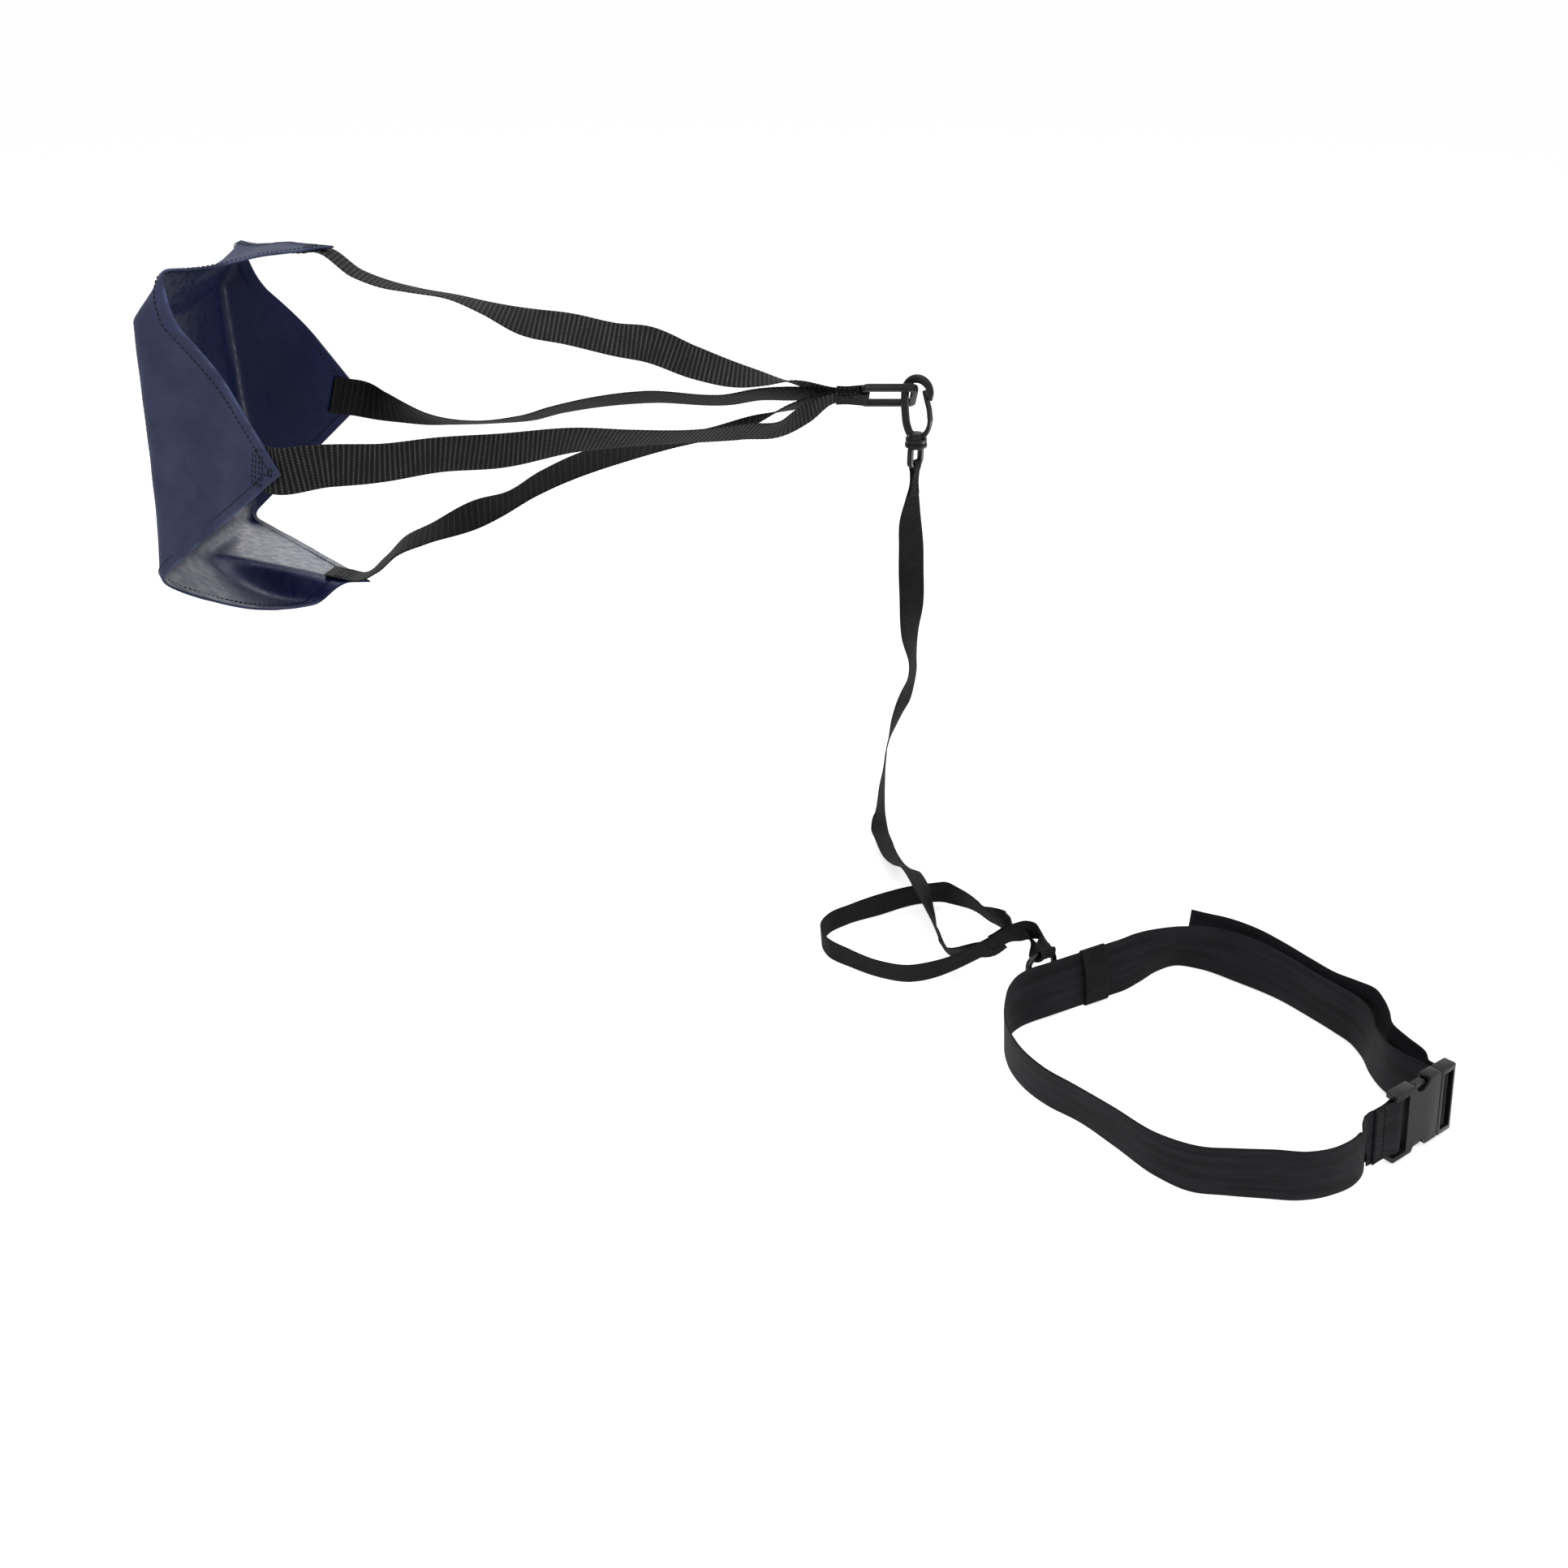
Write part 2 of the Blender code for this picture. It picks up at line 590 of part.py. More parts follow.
def make_hook():
    path = []
    for degrees, share in ((-17, 0.56), (-5, 0.66), (15, 0.8), (40, 0.95), (65, 1.05), (90, 1.08),
                           (115, 1.06), (140, 1.03), (162, 1.0), (180, 1.0)):
        angle = math.radians(degrees)
        x = bend_centre_x + HOOK_BEND_RADIUS * math.cos(angle)
        z = bend_centre_z + HOOK_BEND_RADIUS * math.sin(angle)
        path.append((x, z, HOOK_BAR_WIDTH * share, HOOK_BAR_DEPTH * min(1, share + 0.1)))
    spine_x = bend_centre_x - HOOK_BEND_RADIUS
    for x, level, share in (
        (spine_x, 0.585, 1.0), (spine_x + 1.1 * mm, 0.39, 1.0), (spine_x + 3.5 * mm, 0.211, 1.0),
        (-6.6 * mm, 0.11, 1.0), (0, 0.075, 0.95), (6.2 * mm, 0.102, 0.8),
        (10.4 * mm, 0.176, 0.62), (12.8 * mm, 0.268, 0.54), (gate_hinge.x, 0.3675, 0.54),
    ):
        path.append((x, HOOK_BASE_Z + HOOK_HEIGHT * level, HOOK_BAR_WIDTH * share, HOOK_BAR_DEPTH))
    hook = add_object("snap_hook", sweep_mesh("snap_hook", path, HOOK_SIDES), HARDWARE, 40)
    base = add_object("hook_base", turned_mesh("hook_base", [
        (0, HOOK_BASE_Z), (COLLAR_RADIUS - 0.6 * mm, HOOK_BASE_Z), (COLLAR_RADIUS, HOOK_BASE_Z + 0.6 * mm),
        (COLLAR_RADIUS, HOOK_BASE_Z + COLLAR_HEIGHT - 0.6 * mm),
        (COLLAR_RADIUS - 0.6 * mm, HOOK_BASE_Z + COLLAR_HEIGHT),
        (BASE_RADIUS, HOOK_BASE_Z + COLLAR_HEIGHT + 0.1 * mm), (BASE_RADIUS - mm, HOOK_BASE_Z + BASE_HEIGHT),
        (0, HOOK_BASE_Z + BASE_HEIGHT),
    ]), HARDWARE)
    ledge = HOOK_BASE_Z + HEAD_LEDGE
    bore = add_object("stem_bore", turned_mesh("stem_bore", [
        (0, HOOK_BASE_Z - mm), (STEM_RADIUS + GAP, HOOK_BASE_Z - mm), (STEM_RADIUS + GAP, ledge),
        (STEM_HEAD_RADIUS + GAP, ledge), (STEM_HEAD_RADIUS + GAP, ledge + STEM_HEAD_HEIGHT + 2 * GAP),
        (0, ledge + STEM_HEAD_HEIGHT + 2 * GAP),
    ]), HARDWARE)
    seat_depth = HOOK_BAR_DEPTH
    seat = add_object("gate_seat", bar_mesh(
        "gate_seat", GATE_THICKNESS / 2 + GAP,
        gate_hinge - Vector((0, seat_depth, 0)), gate_hinge + Vector((0, seat_depth, 0)),
    ), HARDWARE)
    combine(hook, base, "UNION")
    combine(hook, bore, "DIFFERENCE")
    combine(hook, seat, "DIFFERENCE")
    for piece in (hook, base, bore, seat):
        piece.matrix_world = hook_frame


def make_gate():
    """A sprung tongue that closes the hook's mouth, hinged at its foot. Its origin is its hinge."""
    half = GATE_THICKNESS / 2
    middle = [
        (0, 0), (-1.6 * mm, 0.37 * gate_length), (-5.1 * mm, 0.74 * gate_length), (-7.4 * mm, gate_length)
    ]
    left, right = [], []
    for number, (x, z) in enumerate(middle):
        before, after = middle[max(number - 1, 0)], middle[min(number + 1, len(middle) - 1)]
        across = Vector((after[1] - before[1], before[0] - after[0])).normalized() * half * (1 - 0.07 * number)
        left.append((x - across.x, z - across.y))
        right.append((x + across.x, z + across.y))
    foot = [
        (half * math.cos(angle), half * math.sin(angle))
        for angle in (math.radians(180 + 30 * step) for step in range(1, 6))
    ]
    outline = [(left[0][0], left[0][1])] + foot + right + left[:0:-1]
    mesh = plate_mesh("hook_gate", outline, -GATE_DEPTH / 2, GATE_DEPTH / 2)
    mesh.transform(Matrix.Rotation(math.pi / 2, 4, "X"))
    gate = add_object("hook_gate", mesh, HARDWARE, 30)
    gate.matrix_world = hook_frame @ Matrix.Translation(gate_hinge)


eye_top = HOOK_BASE_Z - GAP - 4.7 * mm
eye_bar_z = eye_top - EYE_HEIGHT + EYE_BAR / 2
eye_frame = axes(
    Vector((SWIVEL_AXIS.x, SWIVEL_AXIS.y, eye_bar_z)), heading(EYE_HEADING), UP, heading(EYE_HEADING).cross(UP)
)


def make_swivel_eye():
    head_low = HOOK_BASE_Z + HEAD_LEDGE + GAP
    collar_top = HOOK_BASE_Z - GAP
    eye = add_object("swivel_eye", turned_mesh("swivel_eye", [
        (0, eye_top - 1.2 * mm), (5 * mm, eye_top - 1.2 * mm), (COLLAR_RADIUS - 1.2 * mm, eye_top),
        (COLLAR_RADIUS + 0.5 * mm, eye_top + 1.2 * mm), (COLLAR_RADIUS + 0.5 * mm, collar_top - 0.8 * mm),
        (COLLAR_RADIUS - 0.4 * mm, collar_top), (STEM_RADIUS, collar_top), (STEM_RADIUS, head_low),
        (STEM_HEAD_RADIUS, head_low), (STEM_HEAD_RADIUS, head_low + STEM_HEAD_HEIGHT - 0.5 * mm),
        (STEM_HEAD_RADIUS - 0.5 * mm, head_low + STEM_HEAD_HEIGHT), (0, head_low + STEM_HEAD_HEIGHT),
    ]), HARDWARE, 30)
    eye.location = SWIVEL_AXIS
    half = (EYE_WIDTH - EYE_BAR) / 2
    points = rounded_rectangle((-half, 0), (half, EYE_HEIGHT - EYE_BAR / 2 + mm), 3.5 * mm, steps=3)
    loop = add_object("eye_loop", loop_mesh("eye_loop", points, EYE_BAR), HARDWARE)
    loop.matrix_world = eye_frame
    combine(eye, loop, "UNION")


# Tether strap: from the eye down to the floor, over the hand loop's far side and along its
# near side to the join. Places in mm, then the way its width runs as azimuth and elevation.
TETHER_RUN = [
    (-225, 385, 360, 50, 0, 0.62), (-226, 385, 339, 50, 0, 0.86), (-224, 385, 312, 42, 0, 1),
    (-223, 385, 290, 32, 0, 1), (-221, 385, 255, 28, 0, 1), (-221, 385, 222, 46, 0, 1),
    (-217, 385, 192, 69, 0, 1), (-217, 385, 177, 67, 0, 1), (-221, 385, 160, 57, 0, 1),
    (-225, 385, 145, 52, 0, 1), (-230, 385, 130, 60, 0, 1), (-234, 385, 114, 71, 0, 1),
    (-239, 384, 95, 81, 0, 1), (-241, 382, 75, 80, 0, 1), (-243, 379, 55, 73, 0, 1),
    (-244, 374, 36, 68, 0, 1), (-245, 368, 20, 58, -8, 1), (-245, 356, 11, 42, -22, 1),
    (-242, 337, 9, 27, -30, 1), (-235, 302, 10.5, 18, -29, 1), (-228, 272, 21, 16, -28, 1),
    (-222, 248, 33.5, 16, -29, 1), (-216, 226, 34, 18, -32, 1),
    (-208, 200, 21.5, 73, -16, 1), (-204, 180, 15.5, 83, -34, 1), (-198, 156, 15, 97, -45, 1),
    (-195, 141, 20, 97, -47, 1), (-189, 130, 27.5, 102, -56, 1),
]


def aim(azimuth, elevation):
    azimuth, elevation = math.radians(azimuth), math.radians(elevation)
    flat = math.cos(elevation)
    return Vector((flat * math.cos(azimuth), flat * math.sin(azimuth), math.sin(elevation)))


def swept(run):
    return [
        station(Vector((x, y, z)) * mm, aim(azimuth, elevation), TETHER_WIDTH * size)
        for x, y, z, azimuth, elevation, size in run
    ]


join_along = heading(JOIN_HEADING) * math.cos(JOIN_PITCH) + UP * math.sin(JOIN_PITCH)
join_left = heading(JOIN_HEADING + math.pi / 2)
join_up = join_along.cross(join_left) * math.cos(JOIN_LEAN) + join_left * math.sin(JOIN_LEAN)
join_back = join_up.cross(join_along)


def join_station(along, layer, lift, turn=0):
    """At the join: the near layer of webbing is 0. The width runs up, turned towards the D-ring."""
    back = join_back * layer * (TETHER_THICKNESS + GAP)
    side = join_up * math.cos(math.radians(turn)) + join_along * math.sin(math.radians(turn))
    return station(JOIN_PLACE + join_along * along + back + join_up * lift, side, TETHER_WIDTH)


def make_tether():
    wrap = EYE_BAR / 2 + GAP + TETHER_THICKNESS / 2
    beside = (TETHER_THICKNESS + GAP) / 2
    narrow = EYE_WIDTH - 2 * EYE_BAR - 6 * GAP
    eye_side = eye_frame.col[0].xyz
    legs = [(-30 * mm, beside, 1.7), (-17 * mm, beside, 1.25), (-7 * mm, (beside + wrap) / 2, 1)]
    stations = [station(eye_frame @ Vector((0, low, out)), eye_side, narrow * size) for low, out, size in legs]
    for step in range(WRAP_STEPS + 1):
        angle = math.pi * step / WRAP_STEPS
        place = eye_frame @ Vector((0, wrap * math.sin(angle), wrap * math.cos(angle)))
        stations.append(station(place, eye_side, narrow))
    stations += [
        station(eye_frame @ Vector((0, low, -out)), eye_side, narrow * size) for low, out, size in legs[:0:-1]
    ]
    stations += swept(TETHER_RUN)
    stations.append(join_station(-JOIN_LENGTH * 0.9, 2.5, -JOIN_DROP * 0.4, 192))
    stations.append(join_station(-JOIN_LENGTH * 0.4, 1.1, -JOIN_DROP * 0.9, 183))
    stations.append(join_station(JOIN_LENGTH * 0.3, 1, -JOIN_DROP, 180))
    strap("tether_strap", stations, TETHER_THICKNESS, WEBBING)
    sewn = eye_frame @ Vector((0, -22 * mm, beside + (TETHER_THICKNESS + THREAD) / 2 + GAP))
    stitch("eye_stitch", sewn, eye_side, UP, narrow, STITCH_ROW_GAP, THREADS)


# Hand loop: first down to the floor, as the tether's run. Then lower edges in mm, mostly on the
# floor, and lean in degrees to its left.
LOOP_START = [
    (-144, 136, 53, -82, 44, 0.9), (-146, 149, 49, -80, 51, 1), (-151, 167, 40.5, -84, 57, 1),
    (-157, 185, 32.5, -88, 59, 1), (-164.5, 206, 27, -84, 62, 1), (-173, 225, 19.5, -84, 73, 1),
]
LOOP_FAR = [
    (-190, 240, 1.5, 5), (-213, 239, 0, 6), (-254, 220, 0, 0), (-285, 205, 0, 6), (-303, 190, 0, 2),
    (-309, 174, 0, -4), (-304, 156, 0, -8), (-283, 139, 0, -12), (-257, 123, 1, -16), (-232, 111, 6, -17),
    (-206, 108, 15, -17),
]
# From the join to the D-ring and back: places in mm, azimuth and elevation of the width, and its share
LEG_TO_D = [
    (-137, 122.5, 52.3, -123, 76, 1), (-128, 121, 56, -117, 76, 0.96), (-121.5, 117.5, 57.2, -109, 70, 0.88),
    (-118.5, 113, 57.4, -111, 60, 0.76), (-116.7, 109, 57.2, -110, 45, 0.68), (-116, 105, 56.5, -115, 25, 0.6),
]
LEG_FROM_D = [
    (-122, 106, 45.5, -140, 32, 0.52), (-122.5, 112, 46.7, -141, 38, 0.52), (-126, 121, 47.7, -142, 55, 0.6),
]


def on_edge(points, width):
    """Stations of a strap that stands on its edge: lower edge, and lean to the left."""
    made = []
    for number, (x, y, z, lean) in enumerate(points):
        before, after = points[max(number - 1, 0)], points[min(number + 1, len(points) - 1)]
        along = Vector((after[0] - before[0], after[1] - before[1], 0)).normalized()
        lean = math.radians(lean)
        rise = UP * math.cos(lean) + UP.cross(along) * math.sin(lean)
        made.append(station(Vector((x, y, z)) * mm + rise * width / 2, rise, width))
    return made


def belt_station_frame(place):
    """The belt's frame nearest a place, on its lower edge: X back along it, Y up it, Z outwards."""
    frame = min(strap_frames(smooth_line(belt_stations(), STATION_STEP)), key=lambda f: flat_distance(f, place))
    across = frame.col[0].xyz.normalized()
    back = -frame.col[2].xyz
    return axes(frame.translation - across * BELT_WIDTH / 2, back, across, back.cross(across))


def flat_distance(frame, place):
    return (frame.translation - place).to_2d().length


def d_ring_frame():
    """At the D-ring's straight bar: X along the bar, Y to its round side, Z outwards."""
    belt = belt_station_frame(D_RING_PLACE)
    place = belt @ Vector((0, D_BAR_LEVEL, D_BAR_STANDOFF))
    return Matrix.Translation(place) @ belt.to_3x3().to_4x4() @ Matrix.Rotation(D_RING_SKEW, 4, "Y")


def make_hand_loop():
    wrap = D_RING_BAR / 2 + 4 * GAP + TETHER_THICKNESS / 2
    ring = d_ring_frame()
    side = ring.col[0].xyz
    top = D_RING_HEIGHT - D_RING_BAR
    slack = 1.2 * mm
    bunched = TETHER_WIDTH * 0.52
    stations = [
        join_station(-JOIN_LENGTH * 0.3, 3, 0), join_station(JOIN_LENGTH * 0.7, 3, 0),
        join_station(JOIN_LENGTH * 1.2, 5.5, 2 * mm),
    ]
    stations += swept(LOOP_START)
    stations += on_edge(LOOP_FAR, TETHER_WIDTH)
    for along in (-JOIN_LENGTH * 1.6, -JOIN_LENGTH * 0.8, 0, JOIN_LENGTH * 0.6):
        stations.append(join_station(along, 0, 0))
    stations += swept(LEG_TO_D)
    for step in range(WRAP_STEPS + 1):
        angle = math.pi / 2 + math.pi * step / WRAP_STEPS
        along = -6 * mm * (1 - step / WRAP_STEPS)
        place = ring @ Vector((along, top + wrap * math.sin(angle), wrap * math.cos(angle) - slack))
        stations.append(station(place, side, bunched))
    stations += swept(LEG_FROM_D)
    stations.append(join_station(JOIN_LENGTH * 0.9, 2, -JOIN_DROP * 0.3))
    stations.append(join_station(0, 2, -JOIN_DROP * 0.3))
    strap("hand_loop", stations, TETHER_THICKNESS, WEBBING)
    outside = (TETHER_THICKNESS + THREAD) / 2 + GAP
    sewn = JOIN_PLACE - join_back * outside - join_along * JOIN_LENGTH * 0.3
    stitch("join_stitch", sewn, join_up, join_along, TETHER_WIDTH * 0.8, STITCH_ROW_GAP, THREADS)


# D-ring, its tab and the keeper band


def make_d_ring():
    half = (D_RING_WIDTH - D_RING_BAR) / 2
    top = D_RING_HEIGHT - D_RING_BAR
    points = [(half, 2 * mm), (half, 0.35 * top)]
    for step in range(1, 12):
        angle = math.pi * step / 12
        points.append((half * math.cos(angle), 0.35 * top + 0.65 * top * math.sin(angle) ** 0.4))
    points += [(-half, 0.35 * top), (-half, 2 * mm), (2 * mm - half, 0), (half - 2 * mm, 0)]
    d_ring = add_object("d_ring", loop_mesh("d_ring", points, D_RING_BAR), GLOSSY, 40)
    d_ring.matrix_world = d_ring_frame()


def make_tab():
    belt = belt_station_frame(D_RING_PLACE)
    ring = d_ring_frame()
    wrap = D_RING_BAR / 2 + 2 * GAP + TETHER_THICKNESS / 2
    on_belt = BELT_THICKNESS / 2 + GAP + TETHER_THICKNESS / 2
    flat = belt.col[0].xyz
    side = ring.col[0].xyz
    stations = [
        station(belt @ Vector((0, level, on_belt)), flat, TAB_WIDTH)
        for level in (TAB_END_LEVEL, D_BAR_LEVEL - 16 * mm)
    ]
    stations.append(station(belt @ Vector((0, D_BAR_LEVEL - 8 * mm, on_belt + 0.8 * mm)), flat, TAB_WIDTH))
    for step in range(WRAP_STEPS + 1):
        angle = math.radians(200 - 220 * step / WRAP_STEPS)
        stations.append(station(ring @ Vector((0, wrap * math.sin(angle), wrap * math.cos(angle))), side, TAB_WIDTH))
    second = on_belt + TETHER_THICKNESS + GAP
    stations += [
        station(belt @ Vector((0, D_BAR_LEVEL - 12 * mm, second + 2.2 * mm)), flat, TAB_WIDTH),
        station(belt @ Vector((0, D_BAR_LEVEL - 19 * mm, second)), flat, TAB_WIDTH),
        station(belt @ Vector((0, TAB_END_LEVEL, second)), flat, TAB_WIDTH),
    ]
    strap("d_ring_tab", stations, TETHER_THICKNESS, WEBBING, step=5 * mm)
    sewn = belt @ Vector((0, TAB_END_LEVEL + 4 * mm, second + (TETHER_THICKNESS + THREAD) / 2 + GAP))
    stitch("tab_stitch", sewn, flat, belt.col[1].xyz, TAB_WIDTH * 0.8, 6 * mm, THREADS)


def make_keeper():
    belt = belt_station_frame(KEEPER_PLACE)
    out = BELT_THICKNESS / 2 + KEEPER_PLAY + KEEPER_THICKNESS / 2
    low = -KEEPER_THICKNESS / 2 - GAP
    high = BELT_WIDTH + GAP + KEEPER_THICKNESS / 2
    corner = out * 0.9
    points = rounded_rectangle((low, -out), (high, out), corner, steps=3)
    points.append(points[0])
    stations = [station(belt @ Vector((0, y, z)), belt.col[0].xyz, TETHER_WIDTH) for y, z in points]
    strap("keeper_band", stations, KEEPER_THICKNESS, WEBBING, step=60 * mm, closed=True)


# Belt: lower edges in mm, and lean in degrees outwards, from the socket round to the plug
BELT_RUN = [
    (92, -125, 3.5, -8), (66, -139, 1, -2), (41, -143, 0, 0), (16, -141, 0, 0), (-12, -138, 0, 2),
    (-38, -134, 0, 4), (-61, -118, 0, 9), (-86, -87, 0, 13), (-109, -60, 0, 16), (-132, -41, 0, 14),
    (-148, -20, 0, 11), (-157, 7, 0, 7), (-156, 32, 0, 4), (-147, 49, 0, 8), (-136, 58.6, 0, 13),
    (-128, 63, 0, 15.5), (-112, 70.8, 0, 15.5), (-96, 78.6, 0, 15.5), (-82, 85.4, 0, 15.5),
    (-68, 92.2, 0, 15.5), (-54, 99.1, 0, 15.5), (-40, 106, 0, 15.5), (-25, 117, 0, 12),
    (-4, 134, 0, -2), (15, 142, 0, -8), (35, 137, 0, -4),
    (64, 118, 0, 2), (95, 93, 0, -3), (115, 69, 0, -5), (130, 49, 0, -4), (139, 35, 0, -3),
    (143, 18, 0, -3), (143, -4, 0, -6), (146, -26, 2, -7),
]
TAIL_RUN = [
    (161, -38, 4, 4), (155, -20, 3.5, 2), (151, -2, 3, 0), (154, 14, 3, 0), (153, 29, 3, 2),
    (150, 42, 3, 3), (141, 53, 3, 0), (128, 65, 3, -2), (113, 84, 3, -2), (96, 106, 3, -1),
    (77, 127, 3, 0), (55, 143, 3, 0), (36, 151, 3, 0), (25, 156, 3, 0),
]


buckle_frame = (
    Matrix.Translation(BUCKLE_CENTRE)
    @ Matrix.Rotation(BUCKLE_HEADING, 4, "Z")
    @ Matrix.Rotation(math.pi / 2 - BUCKLE_LEAN, 4, "X")
)


def buckle_station(along, out):
    return station(buckle_frame @ Vector((along, 0, out)), buckle_frame.col[1].xyz, BELT_WIDTH)


def belt_stations():
    wrap = BUCKLE_BAR / 2 + GAP + BELT_THICKNESS / 2
    beside = (BELT_THICKNESS + GAP) / 2
    made = [
        buckle_station(SOCKET_BAR - 27 * mm, beside),
        buckle_station(SOCKET_BAR - 14 * mm, beside),
        buckle_station(SOCKET_BAR - 7 * mm, (beside + wrap) / 2),
    ]
    for step in range(WRAP_STEPS + 1):
        angle = math.pi / 2 - math.pi * step / WRAP_STEPS
        made.append(buckle_station(SOCKET_BAR + wrap * math.cos(angle), wrap * math.sin(angle)))
    made += [
        buckle_station(SOCKET_BAR - 7 * mm, -(beside + wrap) / 2),
        buckle_station(SOCKET_BAR - 14 * mm, -beside),
        buckle_station(SOCKET_BAR - 27 * mm, -beside),
        buckle_station(SOCKET_BAR - 34 * mm, -beside - 0.3 * mm),
    ]
    # travelling with the inside of the ring on the right, so a lean outwards is to the left
    made += on_edge([(x, y, z, lean) for x, y, z, lean in BELT_RUN], BELT_WIDTH)
    made.append(buckle_station(PLUG_BAR - wrap, -15 * mm))
    made.append(buckle_station(PLUG_BAR - wrap, -6 * mm))
    for step in range(WRAP_STEPS + 1):
        angle = math.pi - math.pi * step / WRAP_STEPS
        made.append(buckle_station(PLUG_BAR + wrap * math.cos(angle), wrap * math.sin(angle)))
    made.append(buckle_station(PLUG_BAR + wrap, -6 * mm))
    made.append(buckle_station(PLUG_BAR + wrap, -15 * mm))
    made += on_edge([(x, y, z, -lean) for x, y, z, lean in TAIL_RUN], BELT_WIDTH)
    return made


def make_belt():
    strap("belt_strap", belt_stations(), BELT_THICKNESS, BELT)
    sewn_out = BELT_THICKNESS + GAP / 2 + GAP + THREAD / 2
    sewn = buckle_frame @ Vector((SOCKET_BAR - 21 * mm, 0, sewn_out))
    stitch(
        "belt_end_stitch", sewn, buckle_frame.col[1].xyz, -buckle_frame.col[0].xyz,
        BELT_WIDTH * 0.9, STITCH_ROW_GAP, THREADS,
    )


# Buckle, in its own frame: X along the belt, Y across it, Z outwards
half_thick = BUCKLE_THICKNESS / 2
half_width = BUCKLE_WIDTH / 2
slot_half = BELT_WIDTH / 2 + WEBBING_PLAY
cavity_half = half_thick - BUCKLE_WALL
side_wall = half_width - BUCKLE_WALL


def make_socket():
    socket = add_object("buckle_socket", box_mesh(
        "buckle_socket", (SOCKET_TAIL, -half_width, -half_thick), (SOCKET_END, half_width, half_thick), BUCKLE_EDGE
    ), GREY, 30)
    window = add_object("socket_window", box_mesh(
        "socket_window", (SOCKET_TAIL - 5 * mm, -slot_half, -half_thick - mm),
        (SOCKET_START - 1.8 * mm, slot_half, half_thick + mm),
    ), GREY)
    bar = add_object("socket_bar", bar_mesh(
        "socket_bar", BUCKLE_BAR / 2, (SOCKET_BAR, -slot_half - mm, 0), (SOCKET_BAR, slot_half + mm, 0)
    ), GREY)
    cavity = add_object("socket_cavity", box_mesh(
        "socket_cavity", (SOCKET_START + BUCKLE_WALL, -side_wall, -cavity_half), (SOCKET_END + mm, side_wall, cavity_half)
    ), GREY)
    pieces = [socket, window, bar, cavity]
    combine(socket, window, "DIFFERENCE")
    combine(socket, bar, "UNION")
    combine(socket, cavity, "DIFFERENCE")
    for side in (-1, 1):
        centre_y = side * (half_width + mm)
        notch = add_object("socket_notch_%d" % (side + 1), bar_mesh(
            "socket_notch", NOTCH_RADIUS, (NOTCH_PLACE, centre_y, -half_thick - mm),
            (NOTCH_PLACE, centre_y, half_thick + mm), sides=24,
        ), GREY)
        combine(socket, notch, "DIFFERENCE")
        pieces.append(notch)
    for piece in pieces:
        piece.matrix_world = buckle_frame


def make_plug():
    start = SOCKET_END + GAP
    plug = add_object("buckle_plug", box_mesh(
        "buckle_plug", (start, -half_width, -half_thick), (PLUG_END, half_width, half_thick), BUCKLE_EDGE
    ), GREY, 30)
    window = add_object("plug_window", box_mesh(
        "plug_window", (start + PLUG_FRAME, -slot_half, -half_thick - mm),
        (PLUG_END - PLUG_FRAME, slot_half, half_thick + mm),
    ), GREY)
    bar = add_object("plug_bar", bar_mesh(
        "plug_bar", BUCKLE_BAR / 2, (PLUG_BAR, -slot_half - mm, 0), (PLUG_BAR, slot_half + mm, 0)
    ), GREY)
    inside = cavity_half - 2 * GAP
    guide = add_object("plug_guide", box_mesh(
        "plug_guide", (PRONG_TIP, -GUIDE_WIDTH / 2, -inside), (start + mm, GUIDE_WIDTH / 2, inside)
    ), GREY)
    pieces = [plug, window, bar, guide]
    combine(plug, window, "DIFFERENCE")
    combine(plug, bar, "UNION")
    combine(plug, guide, "UNION")
    for side in (-1, 1):
        middle = side * PRONG_OFFSET
        root = add_object("plug_root_%d" % (side + 1), box_mesh(
            "plug_root", (PRONG_HINGE, middle - PRONG_WIDTH / 2, -inside), (start + mm, middle + PRONG_WIDTH / 2, inside)
        ), GREY)
        seat = add_object("prong_seat_%d" % (side + 1), bar_mesh(
            "prong_seat", PRONG_WIDTH / 2 + GAP, (PRONG_HINGE, middle, -half_thick), (PRONG_HINGE, middle, half_thick)
        ), GREY)
        combine(plug, root, "UNION")
        combine(plug, seat, "DIFFERENCE")
        pieces += [root, seat]
    for piece in pieces:
        piece.matrix_world = buckle_frame


def make_prong(name, side):
    """A sprung side arm with its press pad in the socket's notch. Its origin is its root."""
    half = PRONG_WIDTH / 2
    reach = PRONG_TIP - PRONG_HINGE
    pad_low = NOTCH_PLACE - NOTCH_RADIUS * 0.7 - PRONG_HINGE
    pad_high = NOTCH_PLACE + NOTCH_RADIUS * 0.7 - PRONG_HINGE
    pad_top = half_width - 1.5 * mm - PRONG_OFFSET
    outline = [
        (half * math.cos(angle), half * math.sin(angle))
        for angle in (math.radians(-90 + 30 * step) for step in range(7))
    ]
    outline += [
        (pad_high + 3 * mm, half), (pad_high + 0.8 * mm, half + 0.6 * mm), (pad_high, pad_top - 1.5 * mm),
        (pad_high - 1.5 * mm, pad_top), (pad_low + 1.5 * mm, pad_top), (pad_low, pad_top - 1.8 * mm),
        (reach, half), (reach + 1.5 * mm, -half * 0.4), (reach + 5 * mm, -half),
    ]
    inside = cavity_half - 2 * GAP
    mesh = plate_mesh(name, [(x, side * y) for x, y in outline[::side]], -inside, inside)
    prong = add_object(name, mesh, GREY, 30)
    prong.matrix_world = buckle_frame @ Matrix.Translation((PRONG_HINGE, side * PRONG_OFFSET, 0))


